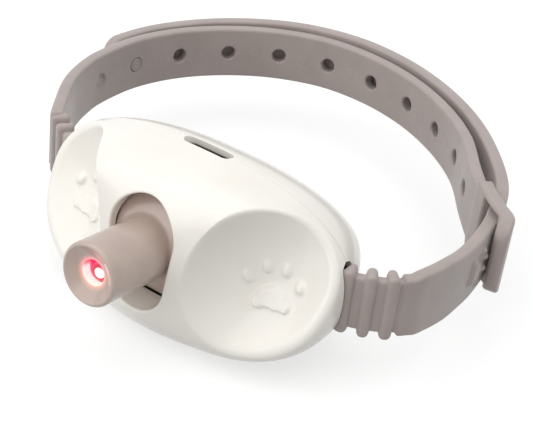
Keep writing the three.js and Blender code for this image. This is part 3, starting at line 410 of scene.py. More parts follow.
def linear(hexcode):
    """sRGB hex colour turned to linear red, green, blue and alpha."""
    parts = np.array([int(hexcode[k:k + 2], 16) for k in (1, 3, 5)]) / 255
    curve = np.where(parts <= 0.04045, parts / 12.92, ((parts + 0.055) / 1.055) ** 2.4)
    return (*curve, 1.0)


def add_node(tree, kind, inputs=None, **settings):
    """Adds a shader node, sets its properties, and fills its inputs with values or links."""
    node = tree.nodes.new("ShaderNode" + kind)
    for name, value in settings.items():
        setattr(node, name, value)
    for key, value in (inputs or {}).items():
        if isinstance(value, bpy.types.NodeSocket):
            tree.links.new(value, node.inputs[key])
        else:
            node.inputs[key].default_value = value
    return node


def start_material(name, **values):
    """A new material and its Principled shader, with constant values set on the shader's own sockets."""
    material = bpy.data.materials.new(name)
    material.use_nodes = True
    shader = material.node_tree.nodes["Principled BSDF"]
    for key, value in values.items():
        shader.inputs[key.replace("_", " ")].default_value = value
    return material, material.node_tree, shader


def mottled(tree, shader, low, high, size_mm):
    """Base colour that drifts between two hex colours over patches of a real size."""
    place = add_node(tree, "TexCoord")
    patches = add_node(tree, "TexNoise", {
        "Vector": place.outputs["Object"], "Scale": 1 / (size_mm * MM), "Detail": 3.0})
    tint = add_node(tree, "ValToRGB", {"Fac": patches.outputs["Fac"]})
    for stop, position, colour in zip(tint.color_ramp.elements, (0.35, 0.65), (low, high)):
        stop.position = position
        stop.color = linear(colour)
    tree.links.new(tint.outputs["Color"], shader.inputs["Base Color"])
    return place


def grained(tree, shader, place, size_mm, depth_mm, strength=1.0, detail=2.0):
    """Fine surface relief from noise of a real size and depth."""
    grain = add_node(tree, "TexNoise", {
        "Vector": place.outputs["Object"], "Scale": 1 / (size_mm * MM), "Detail": detail})
    bump = add_node(tree, "Bump", {
        "Height": grain.outputs["Fac"], "Strength": strength, "Distance": depth_mm * MM})
    tree.links.new(bump.outputs["Normal"], shader.inputs["Normal"])
    return grain


def skinned(name, low, high, patch_mm, grain_mm, depth_mm, rough, strength=1.0, detail=2.0, **values):
    """A material with mottled colour and a fine grain, whose roughness follows the grain between two
    values."""
    material, tree, shader = start_material(name, **values)
    place = mottled(tree, shader, low, high, patch_mm)
    grain = grained(tree, shader, place, grain_mm, depth_mm, strength, detail)
    spread = add_node(tree, "MapRange", {
        "Value": grain.outputs["Fac"], "To Min": rough[0], "To Max": rough[1]})
    tree.links.new(spread.outputs["Result"], shader.inputs["Roughness"])
    return material


# Glossy moulded ABS: the polished mould leaves a mirror-like skin with a very slight long waviness
# and a warm white that is never quite even.
ivory_abs = skinned("moulded_abs_ivory", "#F2EEE6", "#F5F2EB", patch_mm=9.0, grain_mm=2.6, depth_mm=0.006,
                    rough=(0.2, 0.27), IOR=1.53, Coat_Weight=0.25, Coat_Roughness=0.06)


def dress(piece, material, body):
    """Gives a piece its one material and makes it ride on a body."""
    piece.data.materials.clear()
    piece.data.materials.append(material)
    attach(piece, body)


dress(front_shell, ivory_abs, "root")
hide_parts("front_shell")

# Rear casing. The same ABS, moulded as a tapered shell with a flat face towards the neck. Two
# screws sink into tubes moulded in it, and a round hole lets the power button through underneath.

REAR_WIDTH_SHARE = 0.8
REAR_HEIGHT_SHARE = 0.585
REAR_TAPER_POWER = 1.25
REAR_DEPTH = 10.8
REAR_EDGE_ROUND = 1.0
REAR_SIDE_START = 0.6
REAR_SIDE_ROWS = 26
REAR_ROUND_ROWS = 10
REAR_INNER_ROWS = 16
REAR_COLUMNS = 480
OUTER_FLAT_SHARES = [0.96, 0.7, 0.35]
INNER_FLAT_SHARES = [0.35, 0.7]
SCREW_X = 19.0
SINK_RADIUS = 1.8
SINK_DEPTH = 6.2
SCREW_DRILL = (-3.0, 1.0)
SCREW_HOLE_RADIUS = 1.1
TUBE_TOP = -0.25
TUBE_LINING = 0.05
BOSS_RADIUS = 2.45
BUTTON_X = -12.5
BUTTON_Y = -7.8
BUTTON_HOLE_RADIUS = 2.3
BUTTON_DRILL = (-16.0, -7.0)
SMALL_COLUMNS = 72
DRILL_SHARP = 30
SIDES = ((-1, "left"), (1, "right"))


def rear_radius(y, angle, inset):
    """Radius of the rear form at a depth: each half size keeps (1 - share^power)^(1/power) of its
    taper."""
    share = np.clip(1 + y / REAR_DEPTH, 0, 1)
    keep = (1 - share ** REAR_TAPER_POWER) ** (1 / REAR_TAPER_POWER)
    width = (POD_HALF_WIDTH - inset) * (REAR_WIDTH_SHARE + (1 - REAR_WIDTH_SHARE) * keep)
    height = (POD_HALF_HEIGHT - inset) * (REAR_HEIGHT_SHARE + (1 - REAR_HEIGHT_SHARE) * keep)
    return outline_radius(angle, width, height, SEAM_POWER)


def rear_sheet(depth, angle, inset):
    """Points of the tapered side at depths from the seam, behind the notches."""
    y = SEAM_MIDDLE + HALF_SEAM + past_notch(depth, notch_depth(angle))
    radius = rear_radius(y, angle, inset)
    return np.stack([radius * np.cos(angle), y + 0 * radius, radius * np.sin(angle)], axis=-1)


def flat_rows(ring, shares):
    """Rows that shrink a ring towards its middle."""
    middle = np.array([0, ring[0, 1], 0])
    return middle + (ring - middle)[None] * np.array(shares)[:, None, None]


def rear_cover_mesh():
    """Closed cup: seam edge, tapered outside, rounded rear edge, flat rear face, then the same inside."""
    angle = turns(REAR_COLUMNS)[None, :]
    edge_depth = EDGE_ROUND * EDGE_SHARES
    edge = rounded_seam(rear_sheet(edge_depth + 0 * angle, angle, 0), edge_depth, angle)
    length = REAR_DEPTH - HALF_SEAM
    side_depth = np.linspace(REAR_SIDE_START, length - REAR_EDGE_ROUND, REAR_SIDE_ROWS)[:, None]
    side = rear_sheet(side_depth + 0 * angle, angle, 0)
    turn = quarter(REAR_ROUND_ROWS)[1:, None]
    round_depth = length - REAR_EDGE_ROUND * (1 - np.sin(turn))
    round_edge = rear_sheet(round_depth + 0 * angle, angle, 0)
    round_edge = moved_in(round_edge, REAR_EDGE_ROUND * (1 - np.cos(turn)), angle)
    outer_flat = flat_rows(round_edge[-1], OUTER_FLAT_SHARES)
    inner_depth = np.linspace(length - WALL, 0, REAR_INNER_ROWS)[:, None]
    inner_side = rear_sheet(inner_depth + 0 * angle, angle, WALL)
    inner_flat = flat_rows(inner_side[0], INNER_FLAT_SHARES)
    outside = np.concatenate([edge, side, round_edge, outer_flat])
    rows = np.concatenate([outside, inner_flat, inner_side])
    points = np.concatenate([rows.reshape(-1, 3), [[0, 0, 0]], [[0, inner_side[0, 0, 1], 0]]])
    wrap = ring_faces(len(rows), REAR_COLUMNS, close_rows=True)
    outer_rim = np.arange((len(outside) - 1) * REAR_COLUMNS, len(outside) * REAR_COLUMNS)
    wrap = np.delete(wrap, outer_rim, axis=0)
    tip = len(rows) * REAR_COLUMNS
    return points, [wrap, fan_faces(outer_rim, tip), fan_faces((outer_rim + REAR_COLUMNS)[::-1], tip + 1)]


def capped(rows, first_tip, last_tip):
    """Points and faces of rows of rings, closed at each end by a fan to a tip."""
    count, columns = rows.shape[:2]
    points = np.concatenate([rows.reshape(-1, 3), [first_tip, last_tip]])
    first = fan_faces(np.arange(columns)[::-1], count * columns)
    last = fan_faces(np.arange((count - 1) * columns, count * columns), count * columns + 1)
    return points, [ring_faces(count, columns), first, last]


def turned(profile, columns, centre, axis="y", closed=False):
    """A profile of (radius, along) points turned round an axis through a centre. A closed profile makes
    a ring; an open one starts and ends on the axis and is closed there by fans."""
    profile = np.asarray(profile, float)
    turn = turns(columns)
    radius = profile[:, 0][:, None]
    across = radius * np.cos(turn)
    up = radius * np.sin(turn)
    along = profile[:, 1][:, None] + 0 * across
    order = {"x": (along, across, up), "y": (across, along, up), "z": (across, up, along)}[axis]
    grid = np.stack(order, axis=-1) + np.asarray(centre, float)
    if closed:
        return grid.reshape(-1, 3), [ring_faces(len(profile), columns, close_rows=True)]
    return capped(grid[1:-1], grid[0, 0], grid[-1, 0])


def round_bar(name, radius, span, centre, axis):
    """A plain closed round bar, used to drill a hole."""
    profile = [(0, span[0]), (radius, span[0]), (radius, span[1]), (0, span[1])]
    return make_piece(name, *turned(profile, SMALL_COLUMNS, centre, axis))


def drill(piece, tools):
    """Cuts closed shapes out of a piece and keeps the cut mesh; the shapes are then removed."""
    for tool in tools:
        cut = piece.modifiers.new("cut", "BOOLEAN")
        cut.operation = "DIFFERENCE"
        cut.solver = "MANIFOLD"
        cut.object = tool
    depsgraph = bpy.context.evaluated_depsgraph_get()
    mesh = bpy.data.meshes.new_from_object(piece.evaluated_get(depsgraph))
    piece.modifiers.clear()
    piece.data = mesh
    mesh.set_sharp_from_angle(angle=math.radians(DRILL_SHARP))
    for tool in tools:
        bpy.data.objects.remove(tool)


rear_cover = make_piece("casing_rear", *rear_cover_mesh())
drill(rear_cover, [
    round_bar("drill_left", SINK_RADIUS, SCREW_DRILL, (-SCREW_X, 0, 0), "y"),
    round_bar("drill_right", SINK_RADIUS, SCREW_DRILL, (SCREW_X, 0, 0), "y"),
    round_bar("drill_button", BUTTON_HOLE_RADIUS, BUTTON_DRILL, (BUTTON_X, BUTTON_Y, 0), "z")])
dress(rear_cover, ivory_abs, "root")
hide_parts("rear_cover")

for side, name in SIDES:
    tube = turned([
        (SINK_RADIUS, TUBE_TOP), (SINK_RADIUS, -SINK_DEPTH), (SCREW_HOLE_RADIUS, -SINK_DEPTH),
        (SCREW_HOLE_RADIUS, SEAM_MIDDLE + HALF_SEAM), (BOSS_RADIUS, SEAM_MIDDLE + HALF_SEAM),
        (BOSS_RADIUS, -WALL), (SINK_RADIUS + TUBE_LINING, -WALL), (SINK_RADIUS + TUBE_LINING, TUBE_TOP)],
        SMALL_COLUMNS, (side * SCREW_X, 0, 0), closed=True)
    dress(make_piece("screw_tube_" + name, *tube), ivory_abs, "root")

# Cover screws. Small pan-head thread-forming screws in zinc-plated steel with a hex recess, driven
# from behind through the rear casing's tubes into the front casing.

SCREW_HEAD_TOP = -5.0
SCREW_HEAD_THICKNESS = 1.2
SCREW_HEAD_RADIUS = 1.5
SCREW_HEAD_ROUND = 0.5
SCREW_HEAD_ROWS = 8
SCREW_RADIUS = 0.8
SCREW_LENGTH = 6.8
SCREW_POINT_RADIUS = 0.35
SCREW_POINT_ROUND = 0.05
THREAD_START = 0.5
THREAD_END = 0.4
THREAD_PITCH = 0.5
THREAD_INSET = 0.11
THREAD_RISE = 0.1
THREAD_ROWS = 90
NECK_LENGTH = 0.3
RECESS_RADIUS = 0.78
RECESS_DEPTH = 0.6
RECESS_FLARE = 0.04
RECESS_ROUND = 0.05


def screw_profile():
    """Half outline of the screw from its tip to the middle of its head, with a rounded pan head and
    threads as a rise and fall of the shank's radius."""
    top = SCREW_HEAD_TOP
    under = top - SCREW_HEAD_THICKNESS
    tip = under - SCREW_LENGTH
    along = np.linspace(tip + THREAD_START, under - THREAD_END, THREAD_ROWS)
    wave = np.cos((along - tip) * 2 * math.pi / THREAD_PITCH)
    thread = SCREW_RADIUS - THREAD_INSET + THREAD_RISE * wave
    turn = quarter(SCREW_HEAD_ROWS)
    dome_radius = SCREW_HEAD_RADIUS - SCREW_HEAD_ROUND * (1 - np.cos(turn))
    dome_along = top - SCREW_HEAD_ROUND * (1 - np.sin(turn))
    return np.array([
        (0, tip), (SCREW_POINT_RADIUS, tip + SCREW_POINT_ROUND), *zip(thread, along),
        (SCREW_RADIUS, under - NECK_LENGTH), (SCREW_RADIUS, under), (SCREW_HEAD_RADIUS, under),
        *zip(dome_radius, dome_along), (RECESS_RADIUS + RECESS_FLARE, top),
        (RECESS_RADIUS, top - RECESS_ROUND), (RECESS_RADIUS, top - RECESS_DEPTH), (0, top - RECESS_DEPTH)])


# Zinc-plated steel: bright but finely brushed, so it smears what it mirrors.
plated_steel = skinned("zinc_plated_steel", "#B9BCC0", "#D2D4D6", patch_mm=1.5, grain_mm=0.25,
                       depth_mm=0.004, rough=(0.2, 0.38), Metallic=1.0)

for side, name in SIDES:
    points, faces = turned(screw_profile(), SMALL_COLUMNS, (side * SCREW_X, 0, 0))
    rings = points[:-2].reshape(-1, SMALL_COLUMNS, 3)
    turn = turns(SMALL_COLUMNS)
    flat = math.cos(math.pi / 6) / np.cos((turn % (math.pi / 3)) - math.pi / 6)
    rings[-2:, :, 0] = side * SCREW_X + RECESS_RADIUS * flat * np.cos(turn)
    rings[-2:, :, 2] = RECESS_RADIUS * flat * np.sin(turn)
    screw = make_piece("screw_" + name, points, faces)
    dress(screw, plated_steel, "root")
    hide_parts("cover_screw_" + name)

# Swing head. One moulding of taupe ABS: a short round barrel with a dished nose and a small hole for
# the beam, and behind it a shield curved about the axle that closes the slot at every angle.

REST_RAISE = math.radians(5.7)
BARREL_RADIUS = 4.87
BARREL_REACH = 23.8
BARREL_BACK = 6.0
BARREL_BACK_ROUND = 0.2
NOSE_ROUND = 0.55
NOSE_WALL = 1.5
DISH_DEPTH = 1.25
DISH_POWER = 1.35
DISH_START_SHARE = 0.05
APERTURE_RADIUS = 1.9
APERTURE_ROUND = 0.2
APERTURE_BEVEL = 0.1
APERTURE_SINK = 0.02
BORE_RADIUS = 3.3
SHIELD_WALL = 1.0
SHIELD_HALF_WIDTH = 6.0
SHIELD_SPREAD = math.radians(61)
SHIELD_CORNER_POWER = 12
SHIELD_EDGE_ROUND = 0.3
SHIELD_EDGE_CUT = 0.09
HEAD_FILLET = 0.7
FILLET_INSET = 0.1
HEAD_ROWS = 14
APERTURE_ROWS = 5
FILLET_ROWS = 10
SHIELD_BACK_ROWS = 6
HEAD_COLUMNS = 288


def raised(points):
    """Turns points given about the pivot, barrel straight ahead, up to the rest angle and into place."""
    cosine, sine = math.cos(REST_RAISE), math.sin(REST_RAISE)
    x, y, z = np.moveaxis(points, -1, 0)
    return np.stack([x, y * cosine + z * sine, z * cosine - y * sine], axis=-1) + PIVOT


def on_shield(across, arc, radius):
    """Point of the curved shield: across, and an arc length up measured on its front."""
    angle = arc / SHIELD_RADIUS
    back = -radius * np.cos(angle) + 0 * across
    return np.stack([across + 0 * arc, back, radius * np.sin(angle) + 0 * across], axis=-1)


def head_rows():
    """Rows round the barrel's axis: beam hole, dish, rounded nose, barrel side, fillet as a quadratic
    curve, shield front out to its edge, shield back, barrel back and bore."""
    turn = turns(HEAD_COLUMNS)
    cosine, sine = np.cos(turn), np.sin(turn)
    half_arc = SHIELD_RADIUS * SHIELD_SPREAD
    steps = np.linspace(0, 1, HEAD_ROWS)[1:]

    def ring(radius, along):
        return np.stack([radius * cosine, along + 0 * cosine, radius * sine], axis=-1)

    def rim(inset):
        reach = outline_radius(turn, SHIELD_HALF_WIDTH - inset, half_arc - inset, SHIELD_CORNER_POWER)
        return reach * cosine, reach * sine

    front = -BARREL_REACH
    dish = front + DISH_DEPTH
    hole_back = dish + NOSE_WALL
    hole_edge = APERTURE_RADIUS + APERTURE_ROUND
    rows = [ring(BORE_RADIUS, -BARREL_BACK), ring(BORE_RADIUS, hole_back)]
    rows.append(ring(APERTURE_RADIUS + APERTURE_BEVEL, hole_back))
    for y in np.linspace(hole_back - APERTURE_BEVEL, dish + APERTURE_ROUND, APERTURE_ROWS):
        rows.append(ring(APERTURE_RADIUS, y))
    for bend in quarter(APERTURE_ROWS):
        radius = APERTURE_RADIUS + APERTURE_ROUND * (1 - math.cos(bend))
        rows.append(ring(radius, dish + APERTURE_ROUND * (1 - math.sin(bend)) - APERTURE_SINK))
    face_radius = BARREL_RADIUS - NOSE_ROUND
    for share in np.linspace(DISH_START_SHARE, 1, HEAD_ROWS):
        radius = hole_edge + (face_radius - hole_edge) * share
        rows.append(ring(radius, dish - DISH_DEPTH * share ** DISH_POWER))
    for bend in quarter(HEAD_ROWS)[1:]:
        radius = face_radius + NOSE_ROUND * math.sin(bend)
        rows.append(ring(radius, front + NOSE_ROUND * (1 - math.cos(bend))))
    junction_arc = SHIELD_RADIUS * np.arcsin(BARREL_RADIUS * sine / SHIELD_RADIUS)
    corner = on_shield(BARREL_RADIUS * cosine, junction_arc, SHIELD_RADIUS)
    before = corner + np.array([0, -HEAD_FILLET, 0])
    start = front + NOSE_ROUND
    for share in steps:
        rows.append(ring(BARREL_RADIUS, start + (before[:, 1] - start) * share))
    outward = np.hypot(BARREL_RADIUS * cosine, junction_arc)
    grow = (outward + HEAD_FILLET) / outward
    widest = SHIELD_HALF_WIDTH - FILLET_INSET
    after_x = np.clip(BARREL_RADIUS * cosine * grow, -widest, widest)
    after_arc = junction_arc * grow
    after = on_shield(after_x, after_arc, SHIELD_RADIUS)
    for share in np.linspace(0, 1, FILLET_ROWS)[1:]:
        rows.append((1 - share) ** 2 * before + 2 * share * (1 - share) * corner + share ** 2 * after)
    edge_x, edge_arc = rim(SHIELD_EDGE_ROUND)
    for share in steps:
        x = after_x + (edge_x - after_x) * share
        rows.append(on_shield(x, after_arc + (edge_arc - after_arc) * share, SHIELD_RADIUS))
    inner = SHIELD_RADIUS - SHIELD_WALL
    for inset, radius in (
            (SHIELD_EDGE_CUT, SHIELD_RADIUS - SHIELD_EDGE_CUT), (0, SHIELD_RADIUS - SHIELD_EDGE_ROUND),
            (0, inner + SHIELD_EDGE_ROUND), (SHIELD_EDGE_CUT, inner + SHIELD_EDGE_CUT),
            (SHIELD_EDGE_ROUND, inner)):
        edge_x, edge_arc = rim(inset)
        rows.append(on_shield(edge_x, edge_arc, radius))
    back_arc = SHIELD_RADIUS * np.arcsin(BARREL_RADIUS * sine / inner)
    for share in np.linspace(0, 1, SHIELD_BACK_ROWS)[1:]:
        x = edge_x + (BARREL_RADIUS * cosine - edge_x) * share
        rows.append(on_shield(x, edge_arc + (back_arc - edge_arc) * share, inner))
    rows.append(ring(BARREL_RADIUS, -BARREL_BACK - BARREL_BACK_ROUND))
    rows.append(ring(BARREL_RADIUS - BARREL_BACK_ROUND, -BARREL_BACK))
    return np.stack(rows)


# Glossy taupe ABS: the same polished moulding, with a warm grey-brown pigment. The beam's own light
# on the nose dish and in the hole is read from the mesh.
taupe_abs = skinned("moulded_abs_taupe", "#B8A59B", "#C0AEA3", patch_mm=6.0, grain_mm=2.2, depth_mm=0.006,
                    rough=(0.2, 0.28), IOR=1.53, Coat_Weight=0.3, Coat_Roughness=0.05,
                    Emission_Strength=0.8)
glow = add_node(taupe_abs.node_tree, "Attribute", attribute_name="glow")
shader = taupe_abs.node_tree.nodes["Principled BSDF"]
taupe_abs.node_tree.links.new(glow.outputs["Color"], shader.inputs["Emission Color"])

HALO_REACH = 0.85
HALO_POWER = 1.6
HALO_START = 0.1
HALO_TINT_SLOPE = 0.45
GLOW_EDGE = 0.16
GLOW_EDGE_RUN = 0.14
GLOW_LEAN = 0.2
GLOW_SLOPE = 1.6
GLOW_MIDDLE = 0.45

rows = head_rows()
head = make_piece("head_barrel_and_shield", raised(rows), [
    ring_faces(rows.shape[0], HEAD_COLUMNS, close_rows=True)])


def nose_glow(rows):
    """Colour of the beam's light at each point: it fades out over the dish, pink above and orange below,
    and inside the hole it goes from magenta at the upper left to nearly white at the lower left."""
    x, y, z = np.moveaxis(rows, -1, 0)
    from_axis = np.maximum(np.hypot(x, z), TINY)
    in_nose = y < -BARREL_REACH + DISH_DEPTH + NOSE_WALL + HALO_START
    fade = 1 - (from_axis - APERTURE_RADIUS - HALO_START) / HALO_REACH
    halo = np.clip(fade, 0, 1) ** HALO_POWER * in_nose
    below = smooth_step(0.5 - HALO_TINT_SLOPE * z / from_axis)[..., None]
    on_dish = np.array(linear("#F45C86")) * (1 - below) + np.array(linear("#F7936F")) * below
    bright = smooth_step((-GLOW_LEAN * x - z) / from_axis * GLOW_SLOPE + GLOW_MIDDLE)[..., None]
    in_hole = np.array(linear("#E8134F")) * (1 - bright) + np.array(linear("#FFF1EC")) * bright
    inside = smooth_step((APERTURE_RADIUS + GLOW_EDGE - from_axis) / GLOW_EDGE_RUN)[..., None]
    colour = (on_dish * (1 - inside) + in_hole * inside) * halo[..., None]
    colour[..., 3] = 1
    return colour


glow_layer = head.data.attributes.new("glow", "FLOAT_COLOR", "POINT")
glow_layer.data.foreach_set("color", nose_glow(rows).astype(np.float32).ravel())
dress(head, taupe_abs, "head")
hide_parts("swing_head")

HUB_RADIUS = 3.0
AXLE_HOLE_RADIUS = 1.3
CHEEK_THICKNESS = 1.0
CHEEK_SINK = 0.02
CHEEK_STEP = 0.08
CHEEK_COLUMNS = 240


def cheek_mesh(side):
    """A flat plate in Y and Z: its outer radius is the shield's inside over the shield's spread and the
    hub's radius elsewhere, joined by a quick smooth step, with a round hole for the axle."""
    turn = turns(CHEEK_COLUMNS)
    from_front = np.abs((turn + math.pi) % (2 * math.pi) - math.pi)
    step = smooth_step((SHIELD_SPREAD - from_front) / CHEEK_STEP)
    outer = HUB_RADIUS + (SHIELD_RADIUS - SHIELD_WALL + CHEEK_SINK - HUB_RADIUS) * step
    near = SHIELD_HALF_WIDTH - CHEEK_THICKNESS
    far = SHIELD_HALF_WIDTH - CHEEK_SINK
    rows = []
    for share, x in ((0, near), (1, near), (1, far), (0, far)):
        radius = AXLE_HOLE_RADIUS + (outer - AXLE_HOLE_RADIUS) * share
        rows.append(np.stack([side * x + 0 * turn, -radius * np.cos(turn), radius * np.sin(turn)], axis=-1))
    return raised(np.stack(rows)), [ring_faces(len(rows), CHEEK_COLUMNS, close_rows=True)]


for side, name in SIDES:
    dress(make_piece("head_cheek_" + name, *cheek_mesh(side)), taupe_abs, "head")

# Laser module and lens. A turned brass tube with a domed lens of clear red acrylic, pressed into the
# barrel's bore and kept by a nylon ring; the lens glows in the nose hole.

LENS_RADIUS = 1.7
LENS_BACK = -20.9
LENS_TOP = -21.9
LENS_RIM = 0.35
LENS_ROWS = 12
ROUND_COLUMNS = 96
BEAM_RIGHT = 0.5
BEAM_DOWN = 0.15

lens_turn = quarter(LENS_ROWS)[1:-1]
lens_rim = LENS_BACK - LENS_RIM
lens_profile = [(0, LENS_BACK), (LENS_RADIUS, LENS_BACK), (LENS_RADIUS, lens_rim)]
lens_profile += list(zip(
    LENS_RADIUS * np.cos(lens_turn), lens_rim + (LENS_TOP - lens_rim) * np.sin(lens_turn)))
lens_profile += [(0, LENS_TOP)]
points, faces = turned(lens_profile, ROUND_COLUMNS, (0, 0, 0))
lens = make_piece("lens", raised(points), faces)

# Clear red acrylic lit from behind: dark red with a hot white spot where the beam leaves. The colours
# run from the lens's rim to the middle of that spot.
HOT_STOPS = ((0.0, "#F01C5A"), (0.14, "#E8134F"), (0.22, "#A61C38"), (0.44, "#A01E36"), (0.5, "#D8202E"),
             (0.54, "#FFD9C8"), (0.6, "#FFFFFF"))
red_acrylic, tree, shader = start_material("moulded_acrylic_red", IOR=1.49, Roughness=0.06, Coat_Weight=0.4,
                                           Coat_Roughness=0.03, Emission_Strength=0.9)
place = add_node(tree, "TexCoord")
beam = PIVOT + np.array([
    BEAM_RIGHT, LENS_TOP * math.cos(REST_RAISE), -LENS_TOP * math.sin(REST_RAISE) - BEAM_DOWN])
centred = add_node(tree, "Mapping", {
    "Vector": place.outputs["Object"], "Location": tuple(-beam / LENS_RADIUS),
    "Scale": (1 / (LENS_RADIUS * MM),) * 3})
ball = add_node(tree, "TexGradient", {"Vector": centred.outputs["Vector"]}, gradient_type="SPHERICAL")
hot = add_node(tree, "ValToRGB", {"Fac": ball.outputs["Fac"]})
hot_ramp = hot.color_ramp.elements
hot_ramp[0].color = linear(HOT_STOPS[0][1])
hot_ramp[1].position = HOT_STOPS[-1][0]
hot_ramp[1].color = linear(HOT_STOPS[-1][1])
for stop, colour in HOT_STOPS[1:-1]:
    hot_ramp.new(stop).color = linear(colour)
tree.links.new(hot.outputs["Color"], shader.inputs["Base Color"])
tree.links.new(hot.outputs["Color"], shader.inputs["Emission Color"])
dress(lens, red_acrylic, "head")
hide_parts("laser_lens")

MODULE_FRONT = -20.6
MODULE_RADIUS = 3.0
MODULE_LENGTH = 11.0
MODULE_EDGE = 0.15
WELL_DEPTH = 0.7
WELL_RADIUS = 1.5
WELL_MOUTH_RADIUS = 1.8
WELL_MOUTH_EDGE = 0.1
RING_RADIAN = 0.4
RING_DEPTH = 0.01
WAVE_RADIANS = 20

# Turned brass: fine rings left by the cutting tool, run round the barrel's axis. They are drawn far
# coarser than real ones so that they show. WAVE_RADIANS is how many radians of its wave the texture
# runs through in one unit.
turned_brass, tree, shader = start_material("turned_brass", Metallic=1.0, Roughness=0.28)
place = mottled(tree, shader, "#C19A52", "#D6B26A", size_mm=2.0)
rings = add_node(tree, "TexWave", {
    "Vector": place.outputs["Object"], "Scale": 1 / (RING_RADIAN * MM) / WAVE_RADIANS,
    "Distortion": 0.6}, bands_direction="Y")
bump = add_node(tree, "Bump", {
    "Height": rings.outputs["Fac"], "Strength": 0.4, "Distance": RING_DEPTH * MM})
tree.links.new(bump.outputs["Normal"], shader.inputs["Normal"])

module_back = MODULE_FRONT + MODULE_LENGTH
module_edge = MODULE_RADIUS - MODULE_EDGE
module_profile = [
    (0, MODULE_FRONT + WELL_DEPTH), (WELL_RADIUS, MODULE_FRONT + WELL_DEPTH),
    (WELL_MOUTH_RADIUS, MODULE_FRONT + WELL_MOUTH_EDGE),
    (WELL_MOUTH_RADIUS + WELL_MOUTH_EDGE, MODULE_FRONT),
    (module_edge, MODULE_FRONT), (MODULE_RADIUS, MODULE_FRONT + MODULE_EDGE),
    (MODULE_RADIUS, module_back - MODULE_EDGE), (module_edge, module_back), (0, module_back)]
points, faces = turned(module_profile, ROUND_COLUMNS, (0, 0, 0))
module = make_piece("laser_tube", raised(points), faces)
dress(module, turned_brass, "head")
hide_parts("laser_module")

# Collar straps. Two bands of satin taupe silicone, moulded with ribs at the root. Each root ends in
# a tongue on a pin inside the pod. The left band has eleven holes and ends in a keeper loop; the
# right band runs through that loop and round the outside, and its peg sits in the second hole.

STRAP_HALF_WIDTH = 5.0
STRAP_HALF_THICKNESS = 1.1
STRAP_CORNER = 0.5
STRAP_CORNER_SHARE = 0.94
STRAP_SHARP = 50
NECK_HALF_WIDTH = 4.5
NECK_HALF_THICKNESS = 0.85
TONGUE_HALF_WIDTH = 3.8
TONGUE_HALF_THICKNESS = 1.1
TONGUE_GAP = 0.15
TONGUE_ROWS = 12
RIB_COUNT = 3
RIB_HALF_WIDTH = 5.4
RIB_HALF_THICKNESS = 1.5
RIB_RUN = 1.8
RIB_PITCH = 3.1
RIB_POWER = 2.5
RIB_ROWS = 150
FLANGE_AT = 5.0
STEP_RUN = 0.6
TONGUE_REACH = 5.48
LOOP_HALF_SPAN = 44.9
LOOP_DEPTH = 53.8
HOLE_RADIUS = 1.35
HOLE_PITCH = 10.25
HOLE_COUNT = 11
FIRST_HOLE = 37.4
PEG_HOLE = 1
KEEPER_HALF_WIDTH = 6.8
KEEPER_HALF_THICKNESS = 1.2
KEEPER_LENGTH = 14.0
KEEPER_BAR = 3.8
KEEPER_OUTER_BAR = 4.6
KEEPER_CORNER = 3.2
TAIL_TIP = 4.0
TAIL_PAST_PEG = 5.0
TIGHT_GAP = 0.45
KEEPER_GAP = 1.95
TAIL_RAISE = 0.8
SAG = 0.75
SAG_X = 20.0
SAG_Y = -8.0
SAG_RUN = 12.0
BLOCK = 2.2
BLOCK_CELLS = 16
BLOCK_START = 5
CORNER_POINTS = 6
PATCH_SHARES = (0.3, 0.6, 0.85)

ROOT_SHARES = [(-1, -1), (-0.4, -1), (-0.05, -0.995), (0.44, -0.89), (0.875, -0.745)]
HOLED_SHARES = [
    (-0.744, -0.143), (-0.826, -0.054), (-0.927, 0.08), (-0.977, 0.195), (-0.996, 0.277), (-0.993, 0.465),
    (-0.924, 0.645), (-0.797, 0.8), (-0.633, 0.918), (-0.432, 0.991), (-0.207, 0.998), (0.013, 0.952),
    (0.223, 0.859), (0.405, 0.732), (0.557, 0.569), (0.695, 0.435), (0.77, 0.377), (0.83, 0.333),
    (0.848, 0.275)]
PEG_SHARES = [
    (0.768, -0.1), (0.784, -0.041), (0.794, 0.028), (0.8, 0.104), (0.798, 0.186), (0.786, 0.266),
    (0.771, 0.335), (0.742, 0.418), (0.719, 0.489)]


def smooth_path(points, samples=60):
    """Centripetal Catmull-Rom curve through points: the pull at each point is weighed by the square
    roots of the spans beside it. Gives lengths from the start, places and run directions."""
    points = np.asarray(points, float)
    padded = np.vstack([2 * points[0] - points[1], points, 2 * points[-1] - points[-2]])
    count = len(points) - 1
    span = np.sqrt(np.linalg.norm(np.diff(padded, axis=0), axis=1))[:, None]
    before, here, after = span[:count], span[1:count + 1], span[2:count + 2]
    a, b, c, d = (padded[k:count + k] for k in range(4))
    pull_in = ((b - a) / before - (c - a) / (before + here) + (c - b) / here) * here
    pull_out = ((c - b) / here - (d - b) / (here + after) + (d - c) / after) * here
    t = np.linspace(0, 1, samples, endpoint=False)[None, :, None]
    b, c, pull_in, pull_out = (v[:, None, :] for v in (b, c, pull_in, pull_out))
    square = -3 * b + 3 * c - 2 * pull_in - pull_out
    cube = 2 * b - 2 * c + pull_in + pull_out
    places = (b + pull_in * t + square * t ** 2 + cube * t ** 3).reshape(-1, 3)
    places = np.vstack([places, points[-1]])
    steps = np.linalg.norm(np.diff(places, axis=0), axis=1)
    lengths = np.concatenate([[0], np.cumsum(steps)])
    runs = np.gradient(places, lengths, axis=0)
    return lengths, places, runs / np.linalg.norm(runs, axis=1)[:, None]


